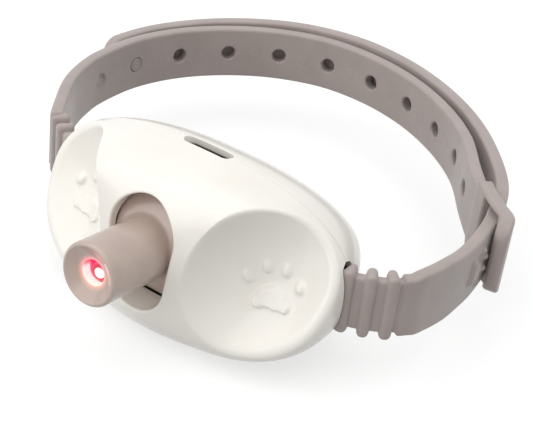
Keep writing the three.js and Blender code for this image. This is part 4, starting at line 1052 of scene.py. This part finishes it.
def on_strap(path, side, at, up, out):
    """Point at a length along a path, a height across the band and an offset outward from its middle."""
    lengths, places, runs = path
    place = np.stack([np.interp(at, lengths, places[:, k]) for k in range(3)], axis=-1)
    run = np.stack([np.interp(at, lengths, runs[:, k]) for k in range(2)], axis=-1)
    run /= np.linalg.norm(run, axis=-1)[..., None]
    outward = np.stack([-side * run[..., 1], side * run[..., 0], 0 * run[..., 0]], axis=-1)
    lift = np.stack([0 * up, 0 * up, up], axis=-1)
    return place + outward * np.asarray(out)[..., None] + lift


def sagged(path):
    """Lowers a path where the right side of the loop hangs: a smooth step in x times one in y."""
    lengths, places, runs = path
    places = places.copy()
    to_right = smooth_step((places[:, 0] - SAG_X) / SAG_RUN)
    places[:, 2] -= SAG * to_right * smooth_step((places[:, 1] - SAG_Y) / SAG_RUN)
    return lengths, places, runs


def root_points(side):
    """Middle line of a strap's root, from shares of the tongue's reach and the rear casing's depth."""
    return [(side * (POD_HALF_WIDTH + across * TONGUE_REACH), back * REAR_DEPTH, 0.0)
            for across, back in ROOT_SHARES]


def loop_points(shares):
    """Middle line of the collar's loop, from shares of its half span and depth."""
    return [(across * LOOP_HALF_SPAN, back * LOOP_DEPTH, 0.0) for across, back in shares]


# The right band's tail follows the left band's outside. The gap between them widens towards the
# keeper with the cube of the share of the way.
holed_path = smooth_path(root_points(-1) + loop_points(HOLED_SHARES))
holed_length = holed_path[0][-1]
hole_places = FIRST_HOLE + HOLE_PITCH * np.arange(HOLE_COUNT)
tail_start = holed_length - KEEPER_LENGTH - STRAP_HALF_WIDTH
tail_end = hole_places[PEG_HOLE] - TAIL_PAST_PEG
tail_steps = round((tail_start - tail_end) / HOLE_PITCH)
tail_share = 1 - np.arange(tail_steps + 1) / tail_steps
tail_gap = TIGHT_GAP + (KEEPER_GAP - TIGHT_GAP) * tail_share ** 3
tail = on_strap(holed_path, 1, tail_end + (tail_start - tail_end) * tail_share,
                TAIL_RAISE * np.sin(math.pi * tail_share) ** 2, 2 * STRAP_HALF_THICKNESS + tail_gap)
peg_path = sagged(smooth_path(root_points(1) + loop_points(PEG_SHARES) + [tuple(point) for point in tail]))
holed_path = sagged(holed_path)
peg_length = peg_path[0][-1]

CORNER_TURN = quarter(CORNER_POINTS + 2)[1:-1]
BLOCK_COLUMNS = np.linspace(-BLOCK, BLOCK, BLOCK_CELLS + 1)
FLAT_HALF = STRAP_HALF_WIDTH - STRAP_CORNER
FACE_COLUMNS = np.concatenate([
    np.linspace(-FLAT_HALF, -BLOCK, BLOCK_START + 1)[:-1], BLOCK_COLUMNS,
    np.linspace(BLOCK, FLAT_HALF, BLOCK_START + 1)[1:]]) / FLAT_HALF


def strap_rings(at, half_thickness, half_width, corner):
    """Local places (length, up, out) of the section's rings: a flat face outward, rounded corners, a
    flat face inward, rounded corners."""
    at, thick, wide, corner = (
        np.asarray(v, float)[:, None] for v in (at, half_thickness, half_width, corner))
    flat = wide - corner
    sine, cosine = np.sin(CORNER_TURN)[None], np.cos(CORNER_TURN)[None]
    face = FACE_COLUMNS[None]
    up = np.concatenate([
        face * flat, flat + corner * sine, flat + corner * cosine,
        -face * flat, -flat - corner * sine, -flat - corner * cosine], axis=1)
    out = np.concatenate([
        thick + 0 * face, thick - corner + corner * cosine, -thick + corner - corner * sine,
        -thick + 0 * face, -thick + corner - corner * cosine, thick - corner + corner * sine], axis=1)
    return np.stack([at + 0 * up, up, out], axis=-1)


def block_loop(first_row, rows, first_column, columns, width):
    """Grid vertex numbers round the edge of a block of cells, in order."""
    low_row = [(first_row, first_column + k) for k in range(columns)]
    high_column = [(first_row + k, first_column + columns) for k in range(rows)]
    high_row = [(first_row + rows, first_column + columns - k) for k in range(columns)]
    low_column = [(first_row + rows - k, first_column) for k in range(rows)]
    pairs = np.array(low_row + high_column + high_row + low_column)
    return pairs[:, 0] * width + pairs[:, 1]


class StrapBuilder:
    """Collects a band's grid and the patches that take the place of blocks of its cells."""

    def __init__(self, rings):
        self.rows, self.columns = rings.shape[:2]
        self.local = [rings.reshape(-1, 3)]
        self.count = self.rows * self.columns
        self.quads = []
        self.fans = []
        self.kept = np.ones((self.rows - 1, self.columns), bool)

    def add(self, points):
        start = self.count
        self.local.append(points)
        self.count += len(points)
        return np.arange(start, self.count)

    def places(self, numbers):
        return np.concatenate(self.local)[numbers]

    def bridge(self, first, second):
        self.quads.append(np.stack([first, np.roll(first, -1), np.roll(second, -1), second], axis=-1))

    def grow(self, ring, points):
        """Adds a ring of points, joins it to the last one by a strip of quads, and returns it."""
        following = self.add(points)
        self.bridge(ring, following)
        return following

    def clear(self, row, rows, inner, first_column, columns):
        """Takes a block of cells out of the outer or inner face and gives its edge loop. The inner face
        runs the other way, so its loop is turned to match the outer one."""
        start = first_column
        if inner:
            inner_start = len(FACE_COLUMNS) + 2 * CORNER_POINTS
            start = inner_start + len(FACE_COLUMNS) - 1 - first_column - columns
        self.kept[row:row + rows, start:start + columns] = False
        loop = block_loop(row, rows, start, columns, self.columns)
        if inner:
            grid = self.places(loop)
            outer = self.places(block_loop(row, rows, first_column, columns, self.columns))
            gap = np.abs(outer[:, None, :2] - grid[None, :, :2]).sum(-1)
            loop = loop[gap.argmin(1)]
        return loop

    def round_patch(self, row, centre_at, profile, inner):
        """Rings from a block's square edge to circles of the profile's radii. Returns the last ring."""
        ring = self.clear(row, BLOCK_CELLS, inner, BLOCK_START, BLOCK_CELLS)
        edge = self.places(ring)
        offset = edge[:, :2] - np.array([centre_at, 0])
        direction = offset / np.linalg.norm(offset, axis=1)[:, None]
        sign = -1 if inner else 1
        first_radius = profile[0][0]
        for share in PATCH_SHARES:
            flat = offset * (1 - share) + direction * first_radius * share
            ring = self.grow(ring, np.column_stack([centre_at + flat[:, 0], flat[:, 1], edge[:, 2]]))
        for radius, rise in profile:
            ring = self.grow(ring, np.column_stack([
                centre_at + direction[:, 0] * radius, direction[:, 1] * radius, edge[:, 2] + sign * rise]))
        return ring

    def cap(self, ring):
        tip = self.add(self.places(ring).mean(axis=0)[None])[0]
        self.fans.append(fan_faces(ring, tip))

    def mesh(self, path, side):
        cells = ring_faces(self.rows, self.columns).reshape(self.rows - 1, self.columns, 4)
        self.quads.append(cells[self.kept])
        self.cap(np.arange(self.columns)[::-1])
        self.cap(np.arange((self.rows - 1) * self.columns, self.rows * self.columns))
        local = np.concatenate(self.local)
        points = on_strap(path, side, local[:, 0], local[:, 1], local[:, 2])
        return points, [np.concatenate(self.quads), np.concatenate(self.fans)]


def root_stations():
    """Lengths, half thicknesses and half widths of the tongue, three ribs, of which the first is the
    flange, and the step. Each rib swells as the root of 1 - share^power of its run."""
    flange_start = FLANGE_AT - RIB_RUN / 2
    at = np.concatenate([
        np.linspace(0, flange_start - TONGUE_GAP, TONGUE_ROWS),
        np.linspace(flange_start, FLANGE_AT + RIB_COUNT * RIB_PITCH + STEP_RUN, RIB_ROWS)])
    thick = np.full_like(at, NECK_HALF_THICKNESS)
    wide = np.full_like(at, NECK_HALF_WIDTH)
    for rib in range(RIB_COUNT):
        share = np.clip(np.abs(at - FLANGE_AT - rib * RIB_PITCH) / (RIB_RUN / 2), 0, 1)
        swell = np.sqrt(1 - share ** RIB_POWER)
        thick += (RIB_HALF_THICKNESS - NECK_HALF_THICKNESS) * swell
        wide += (RIB_HALF_WIDTH - NECK_HALF_WIDTH) * swell
    step = smooth_step((at - FLANGE_AT - RIB_COUNT * RIB_PITCH + RIB_RUN) / STEP_RUN)
    thick += (STRAP_HALF_THICKNESS - NECK_HALF_THICKNESS) * step
    wide += (STRAP_HALF_WIDTH - NECK_HALF_WIDTH) * step
    thick[:TONGUE_ROWS] = TONGUE_HALF_THICKNESS
    wide[:TONGUE_ROWS] = TONGUE_HALF_WIDTH
    return at, thick, wide


def even_lengths(start, end, step):
    """Even lengths up to an end, no further apart than the step, with the start left out."""
    return np.linspace(start, end, max(2, int(math.ceil((end - start) / step)) + 1))[1:]


def end_inset(lengths, end, size, least):
    """How far a rounded end draws in: the drop of a quarter circle, with the square under its root
    kept over a least value so that the last row stays open."""
    past = np.clip(lengths - (end - size), 0, size)
    return size - np.sqrt(np.maximum(size ** 2 - past ** 2, least))


# Left band: the rim of a hole and the round moulding mark between two holes are rings of a radius
# and a rise over the face. A faint ring stands round each hole before its edge rounds over.
RIM_ROWS = 6
RIM_TURN = quarter(RIM_ROWS)
RIM_ROUND = 0.38
HOLE_RIM = [(2.02, 0.0), (1.9, 0.02), (1.8, 0.0)] + [
    (HOLE_RADIUS + RIM_ROUND * (1 - math.sin(turn)), -RIM_ROUND * (1 - math.cos(turn)))
    for turn in RIM_TURN]
MARK_RINGS = [(1.5, 0.0), (1.36, -0.03), (1.24, -0.05), (1.12, -0.03), (1.0, 0.0), (0.6, 0.0)]
BAND_STEP = 0.6
FLARE_STEP = 0.2
FLARE_START = 1.2
FLARE_RUN = 1.6
WINDOW_ROUND = 0.4
WINDOW_ROWS = 30
END_STEP = 0.3
END_ROWS = 12
END_ROUND = 1.0
END_ROUND_SHARE = 0.95
LEAST_WIDTH_SQUARE = 0.02
LEAST_THICKNESS_SQUARE = 0.01

root_at, root_thick, root_wide = root_stations()
keeper_start = holed_length - KEEPER_LENGTH
mark_places = hole_places[:-1] + HOLE_PITCH / 2
block_places = np.sort(np.concatenate([hole_places, mark_places]))
blocks = block_places[:, None] + BLOCK_COLUMNS[None]
window_from = keeper_start + KEEPER_BAR
window_to = holed_length - KEEPER_OUTER_BAR
end_stations = holed_length - KEEPER_CORNER * (1 - np.sin(quarter(END_ROWS)))
window_stations = np.linspace(window_from - WINDOW_ROUND, window_to + WINDOW_ROUND, WINDOW_ROWS + 1)
flare_from = keeper_start - FLARE_RUN
lengths = np.concatenate([
    root_at, even_lengths(root_at[-1], blocks[0, 0], BAND_STEP)[:-1], blocks.ravel(),
    even_lengths(blocks[-1, -1], flare_from, BAND_STEP),
    even_lengths(flare_from, window_stations[0], FLARE_STEP)[:-1], window_stations,
    even_lengths(window_stations[-1], end_stations[0], END_STEP)[:-1], end_stations])
thick = np.interp(lengths, root_at, root_thick)
wide = np.interp(lengths, root_at, root_wide)
in_keeper = smooth_step((lengths - keeper_start + FLARE_START) / FLARE_RUN)
thick += (KEEPER_HALF_THICKNESS - STRAP_HALF_THICKNESS) * in_keeper
wide += (KEEPER_HALF_WIDTH - STRAP_HALF_WIDTH) * in_keeper
wide -= end_inset(lengths, holed_length, KEEPER_CORNER, LEAST_WIDTH_SQUARE)
thick -= end_inset(lengths, holed_length, END_ROUND, LEAST_THICKNESS_SQUARE) * END_ROUND_SHARE
corner = np.minimum(STRAP_CORNER, thick * STRAP_CORNER_SHARE)
holed = StrapBuilder(strap_rings(lengths, thick, wide, corner))
for number, centre_at in enumerate(block_places):
    row = int(np.searchsorted(lengths, blocks[number, 0]))
    if number % 2 == 0:
        holed.bridge(*(holed.round_patch(row, centre_at, HOLE_RIM, inner) for inner in (False, True)))
    else:
        for inner in (False, True):
            holed.cap(holed.round_patch(row, centre_at, MARK_RINGS, inner))

window_row = int(np.searchsorted(lengths, window_stations[0]))
middle_at = (window_from + window_to) / 2
half_at = (window_to - window_from) / 2 + WINDOW_ROUND
window_loops = []
for inner in (False, True):
    ring = holed.clear(window_row, WINDOW_ROWS, inner, 0, len(FACE_COLUMNS) - 1)
    edge = holed.places(ring)
    half_up = np.abs(edge[:, 1]).max()
    sign = -1 if inner else 1
    for turn in RIM_TURN[1:]:
        inset = WINDOW_ROUND * math.sin(turn)
        drop = WINDOW_ROUND * (1 - math.cos(turn))
        ring = holed.grow(ring, np.column_stack([
            middle_at + (edge[:, 0] - middle_at) * (1 - inset / half_at),
            edge[:, 1] * (1 - inset / half_up), edge[:, 2] - sign * drop]))
    window_loops.append(ring)
holed.bridge(*window_loops)
holed_strap = make_piece("strap_with_holes", *holed.mesh(holed_path, 1), sharp=STRAP_SHARP)

# Satin silicone: soft and matte with a fine even grain from the sandblasted mould, a faint sheen and
# a little light carried below the surface. The real blast grain is about 0.05 mm; it is drawn three
# times as coarse so that it shows.
silicone = skinned("moulded_silicone_taupe", "#A59A96", "#ABA09C", patch_mm=6.0, grain_mm=0.16,
                   depth_mm=0.012, rough=(0.38, 0.5), strength=0.6, IOR=1.41, Sheen_Weight=0.35,
                   Sheen_Roughness=0.4, Subsurface_Weight=0.08, Subsurface_Scale=0.002)
dress(holed_strap, silicone, "root")
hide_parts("holed_strap")

# Right band: it is a little wider before the keeper, and its tip is rounded in width and thickness
# as the root of 1 - share^power. The print is embossed on its outer face beside the keeper, with the
# pad towards the pod.
TIP_ROWS = 22
TIP_LAST_SHARE = 0.998
TIP_WIDTH_POWER = 2.4
TIP_THICKNESS_POWER = 6
TIP_CORNER_SHARE = 0.9
FINE_RUN = 26
FINE_STEP = 0.25
SWELL = 0.3
SWELL_START = 14
SWELL_START_RUN = 2
SWELL_END = 27
SWELL_END_RUN = 5
STRAP_PAW_AT = 31.0
STRAP_PAW_SHIFT = 0.8
STRAP_PAW_LENGTH_SCALE = 1.1
STRAP_PAW_WIDTH_SCALE = 1.4
STRAP_PAW_HEIGHT_SCALE = 0.9

tip_start = peg_length - TAIL_TIP
lengths = np.concatenate([
    root_at, even_lengths(root_at[-1], root_at[-1] + FINE_RUN, FINE_STEP),
    even_lengths(root_at[-1] + FINE_RUN, tip_start, BAND_STEP),
    tip_start + TAIL_TIP * (np.sin(quarter(TIP_ROWS))[1:] * TIP_LAST_SHARE)])
thick = np.interp(lengths, root_at, root_thick)
wide = np.interp(lengths, root_at, root_wide)
swell = smooth_step((lengths - SWELL_START) / SWELL_START_RUN)
wide += SWELL * swell * smooth_step((SWELL_END - lengths) / SWELL_END_RUN)
past = np.clip((lengths - tip_start) / TAIL_TIP, 0, 1)
wide *= np.sqrt(1 - past ** TIP_WIDTH_POWER)
thick *= np.sqrt(1 - past ** TIP_THICKNESS_POWER)
corner = np.minimum(np.minimum(STRAP_CORNER, thick * STRAP_CORNER_SHARE), wide * TIP_CORNER_SHARE)
peg_rings = strap_rings(lengths, thick, wide, corner)
face = peg_rings[:, :len(FACE_COLUMNS)]
paw_up = (face[..., 0] - STRAP_PAW_AT) * STRAP_PAW_LENGTH_SCALE + STRAP_PAW_SHIFT
face[..., 2] += STRAP_PAW_HEIGHT_SCALE * paw_height(face[..., 1] * STRAP_PAW_WIDTH_SCALE, paw_up)
peg_band = StrapBuilder(peg_rings)
peg_strap = make_piece("strap_with_peg", *peg_band.mesh(peg_path, -1), sharp=STRAP_SHARP)
dress(peg_strap, silicone, "root")
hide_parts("peg_strap")

# Peg. The round stud moulded on the right band, pushed through the second hole from outside; its end
# is a flush disc with a ring groove and a small dimple. The end is drawn as radius and depth.
PEG_RADIUS = 1.28
PEG_EDGE = 0.12
PEG_PROUD = 0.02
PEG_SINK = 0.3
PEG_COLUMNS = 64
PEG_FACE = [(0, 0.14), (0.18, 0.1), (0.28, 0), (0.72, 0), (0.8, 0.1), (0.88, 0.1), (0.96, 0)]

peg_end = -STRAP_HALF_THICKNESS - PEG_PROUD
peg_root = STRAP_HALF_THICKNESS + TIGHT_GAP + PEG_SINK
peg_profile = np.array([(radius, peg_end + depth) for radius, depth in PEG_FACE] + [
    (PEG_RADIUS - PEG_EDGE, peg_end), (PEG_RADIUS, peg_end + PEG_EDGE), (PEG_RADIUS, peg_root),
    (0, peg_root)])
turn = turns(PEG_COLUMNS)
peg_rows = on_strap(
    holed_path, 1, hole_places[PEG_HOLE] + peg_profile[:, 0][:, None] * np.cos(turn),
    peg_profile[:, 0][:, None] * np.sin(turn), peg_profile[:, 1][:, None] + 0 * turn)
peg = make_piece("strap_peg", *capped(peg_rows[1:-1], peg_rows[0, 0], peg_rows[-1, 0]))
dress(peg, silicone, "root")

# Power button. A round cap of taupe ABS with a slightly dished top, kept in by a flange; it presses
# the switch on the board. The dish is drawn as radius and depth.
BUTTON_RADIUS = 2.0
BUTTON_ROUND = 0.4
BUTTON_ROUND_ROWS = 7
BUTTON_FLANGE = 2.7
BUTTON_FLANGE_THICKNESS = 0.5
BUTTON_DISH = [(0, 0.15), (0.6, 0.12), (1.2, 0.03)]

button_low, button_high = (np.array(v)[2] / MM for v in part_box("power_button"))
flange_low = button_high - BUTTON_FLANGE_THICKNESS
button_profile = [(radius, button_low + depth) for radius, depth in BUTTON_DISH]
for bend in quarter(BUTTON_ROUND_ROWS):
    radius = BUTTON_RADIUS - BUTTON_ROUND + BUTTON_ROUND * math.sin(bend)
    button_profile.append((radius, button_low + BUTTON_ROUND * (1 - math.cos(bend))))
button_profile += [
    (BUTTON_RADIUS, flange_low), (BUTTON_FLANGE, flange_low), (BUTTON_FLANGE, button_high),
    (0, button_high)]
button = make_piece("button_cap", *turned(button_profile, ROUND_COLUMNS, (BUTTON_X, BUTTON_Y, 0), "z"))
dress(button, taupe_abs, "button")
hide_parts("power_button")

# Charging socket. A drawn steel shell with a black nylon tongue in it, in the slot on the pod's top.
SOCKET_WALL = 0.3
SOCKET_ROUND = 0.08
SOCKET_ROUND_HEIGHT = 0.1

# Drawn steel sheet, still a little shiny, coloured nearly black as painted shade: the dark colour stands in
# for the shade inside the charging slot.
slot_shade_steel = skinned("steel_painted_dark_as_slot_shade", "#2C302E", "#3A3F3C", patch_mm=1.0, grain_mm=0.2,
                      depth_mm=0.004, rough=(0.35, 0.5), Metallic=1.0)

socket_low, socket_high = (np.array(v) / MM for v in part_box("charge_socket_shell"))


def socket_ring(inset, height):
    """The socket's outline drawn in by a length: straight sides and round ends, by the angle of its
    parts."""
    turn = turns(ROUND_COLUMNS)
    half_length, half_thickness = (socket_high - socket_low)[:2] / 2 - inset
    shift = np.where(np.cos(turn) >= 0, 1, -1) * (half_length - half_thickness)
    along = shift + half_thickness * np.cos(turn)
    return np.stack([along, SEAM_MIDDLE + half_thickness * np.sin(turn), height + 0 * along], axis=-1)


bottom, top = socket_low[2], socket_high[2]
socket_floor = bottom + SOCKET_WALL
round_start = top - SOCKET_ROUND_HEIGHT
socket_rows = np.stack([socket_ring(inset, height) for inset, height in (
    (0, bottom), (0, round_start), (SOCKET_ROUND, top), (SOCKET_WALL - SOCKET_ROUND, top),
    (SOCKET_WALL, round_start), (SOCKET_WALL, socket_floor))])
socket = make_piece("socket_shell", *capped(
    socket_rows, (0, SEAM_MIDDLE, bottom), (0, SEAM_MIDDLE, socket_floor)))
# The shell's near-black colour is painted shade for the dim inside of the slot.
dress(socket, slot_shade_steel, "root")
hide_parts("charge_socket_shell")

# Inner pieces. Frame, drive, battery and electronics keep their solids and get the finish of what
# they are made of.

# Moulded nylon: even black with a fine matte skin.
black_nylon = skinned("moulded_nylon_black", "#232426", "#2B2C2F", patch_mm=1.2, grain_mm=0.2,
                      depth_mm=0.01, rough=(0.45, 0.6), strength=0.7, IOR=1.53)

# Moulded acetal: milky white and slightly waxy.
white_acetal = skinned("moulded_acetal_white", "#E6E3DA", "#EEECE5", patch_mm=1.5, grain_mm=0.3,
                       depth_mm=0.004, rough=(0.32, 0.42), IOR=1.48, Subsurface_Weight=0.1,
                       Subsurface_Scale=0.001)

# Laminated foil pouch: soft metal with faint creases.
pouch_foil = skinned("laminated_foil_pouch", "#A2A6AB", "#B7BABE", patch_mm=3.0, grain_mm=2.2,
                     depth_mm=0.06, rough=(0.3, 0.42), strength=0.6, detail=4.0, Metallic=0.85)

# Closed-cell foam: small round cells open at the cut face.
FOAM_CELL = 0.35
FOAM_CELL_DEPTH = 0.08
cell_foam, tree, shader = start_material("closed_cell_foam_grey", Roughness=0.9)
place = mottled(tree, shader, "#7F8184", "#909295", size_mm=1.0)
cells = add_node(tree, "TexVoronoi", {"Vector": place.outputs["Object"], "Scale": 1 / (FOAM_CELL * MM)})
bump = add_node(tree, "Bump", {
    "Height": cells.outputs["Distance"], "Strength": 0.8, "Distance": FOAM_CELL_DEPTH * MM})
tree.links.new(bump.outputs["Normal"], shader.inputs["Normal"])

# Solder mask on glass-filled laminate: green lacquer over a weave of about half a millimetre.
LAMINATE_WEAVE = 0.5
LAMINATE_WEAVE_DEPTH = 0.01
solder_mask, tree, shader = start_material("solder_mask_green", IOR=1.5, Roughness=0.3)
place = mottled(tree, shader, "#1B4A33", "#215A3E", size_mm=1.0)
weave = add_node(tree, "TexChecker", {"Vector": place.outputs["Object"], "Scale": 1 / (LAMINATE_WEAVE * MM)})
bump = add_node(tree, "Bump", {
    "Height": weave.outputs["Fac"], "Strength": 0.3, "Distance": LAMINATE_WEAVE_DEPTH * MM})
tree.links.new(bump.outputs["Normal"], shader.inputs["Normal"])

# Moulded epoxy of a chip: nearly black with a dusty grain.
chip_epoxy = skinned("moulded_epoxy_black", "#17181A", "#1F2022", patch_mm=0.6, grain_mm=0.08,
                     depth_mm=0.006, rough=(0.5, 0.65), strength=0.8, IOR=1.55)

# Cast clear resin over a phosphor: pale yellow and glossy.
led_resin, tree, shader = start_material("cast_resin_pale", IOR=1.5, Roughness=0.15)
place = mottled(tree, shader, "#EFE6BE", "#F7F0D2", size_mm=0.5)
grained(tree, shader, place, size_mm=0.3, depth_mm=0.003)

finishes = {
    "steel_plated": plated_steel, "nylon_black": black_nylon, "acetal_white": white_acetal,
    "cell_foil": pouch_foil, "pad_foam": cell_foam, "board_green": solder_mask,
    "chip_black": chip_epoxy, "led_pale": led_resin}
for row in frame["record"]["subparts"]:
    if row["material_slot"] in finishes:
        node = frame["nodes"][row["node"]]
        node.data.materials.clear()
        node.data.materials.append(finishes[row["material_slot"]])

# Camera, lamps, floor and backdrop. The view of the photograph: from the right and above, with the
# camera turned a little about its own axis. One large soft lamp stands in front, up to the left, and
# another hangs overhead. These sizes are in metres, as Blender takes them, but for the camera's own.
IMAGE_WIDTH = 533
FOCAL_PIXELS = 1317.0
SENSOR_WIDTH = 36.0
CLIP_NEAR = 0.01
CLIP_FAR = 20
AZIMUTH = math.radians(32.2)
ELEVATION = math.radians(31.53)
ROLL = math.radians(7.29)
TARGET = Vector((4.67, 0, 0)) * MM
DISTANCE = 208.6 * MM
KEY_DIRECTION = Vector((-0.42, -0.72, 0.55)).normalized()
KEY_DISTANCE = 0.7
KEY_SIZE = 0.8
KEY_POWER = 2.3
TOP_PLACE = Vector((0, 0.05, 0.8))
TOP_SIZE = 0.9
TOP_POWER = 2.6
FLOOR_HALF = 2.5
FLOOR_LIFT = 0.62
WORLD_STRENGTH = 0.6

back = Vector((math.sin(AZIMUTH) * math.cos(ELEVATION), -math.cos(AZIMUTH) * math.cos(ELEVATION),
               math.sin(ELEVATION)))
level_right = Vector((math.cos(AZIMUTH), math.sin(AZIMUTH), 0))
level_up = back.cross(level_right)
right = level_right * math.cos(ROLL) + level_up * math.sin(ROLL)
up = level_up * math.cos(ROLL) - level_right * math.sin(ROLL)
camera_data = bpy.data.cameras.new("camera")
camera_data.sensor_width = SENSOR_WIDTH
camera_data.lens = SENSOR_WIDTH * FOCAL_PIXELS / IMAGE_WIDTH
camera_data.clip_start = CLIP_NEAR
camera_data.clip_end = CLIP_FAR
camera = bpy.data.objects.new("camera", camera_data)
bpy.context.scene.collection.objects.link(camera)
turn_matrix = Matrix((right, up, back)).transposed()
camera.matrix_world = Matrix.Translation(TARGET + back * DISTANCE) @ turn_matrix.to_4x4()
bpy.context.scene.camera = camera


def soft_lamp(name, place, size, power):
    """A square area lamp that faces the object's middle."""
    data = bpy.data.lights.new(name, "AREA")
    data.size = size
    data.energy = power
    lamp = bpy.data.objects.new(name, data)
    bpy.context.scene.collection.objects.link(lamp)
    lamp.location = place
    lamp.rotation_mode = "QUATERNION"
    lamp.rotation_quaternion = (Vector(place) - TARGET).to_track_quat("Z", "Y")


soft_lamp("key_lamp", TARGET + KEY_DIRECTION * KEY_DISTANCE, KEY_SIZE, KEY_POWER)
soft_lamp("top_lamp", TARGET + TOP_PLACE, TOP_SIZE, TOP_POWER)


def seen_ray(tree):
    """1 for a ray from the camera, off a glossy surface or through a clear one, and 0 for any other."""
    path_kind = add_node(tree, "LightPath")
    seen = path_kind.outputs["Is Camera Ray"]
    for kind in ("Is Glossy Ray", "Is Transmission Ray"):
        either = add_node(tree, "Math", {0: seen, 1: path_kind.outputs[kind]}, operation="MAXIMUM")
        seen = either.outputs[0]
    return seen


# White painted board: a grey that takes the object's shadow, lifted to white where it is looked at.
white_surround, tree, shader = start_material(
    "painted_board_white", Roughness=0.9, Base_Color=linear("#B0B0B0"))
lift = add_node(tree, "Emission", {"Color": (1, 1, 1, 1), "Strength": FLOOR_LIFT})
none = add_node(tree, "Emission", {"Color": (0, 0, 0, 1), "Strength": 0.0})
extra = add_node(tree, "MixShader", {0: seen_ray(tree), 1: none.outputs[0], 2: lift.outputs[0]})
total = add_node(tree, "AddShader", {0: shader.outputs[0], 1: extra.outputs[0]})
tree.links.new(total.outputs[0], tree.nodes["Material Output"].inputs["Surface"])

floor_mesh = bpy.data.meshes.new("floor")
floor_mesh.from_pydata([
    (across * FLOOR_HALF, along * FLOOR_HALF, cad_box[0][2])
    for across, along in ((-1, -1), (1, -1), (1, 1), (-1, 1))], [], [(0, 1, 2, 3)])
floor = bpy.data.objects.new("floor", floor_mesh)
bpy.context.scene.collection.objects.link(floor)
floor.data.materials.append(white_surround)

world = bpy.data.worlds.new("studio")
bpy.context.scene.world = world
world.use_nodes = True
tree = world.node_tree
tree.nodes.clear()
soft_light = add_node(tree, "Background", {"Color": (1, 1, 1, 1), "Strength": WORLD_STRENGTH})
white = add_node(tree, "Background", {"Color": (1, 1, 1, 1), "Strength": 1.0})
mixed = add_node(tree, "MixShader", {0: seen_ray(tree), 1: soft_light.outputs[0], 2: white.outputs[0]})
add_node(tree, "OutputWorld", {0: mixed.outputs[0]})
bpy.context.scene.view_settings.view_transform = "Standard"
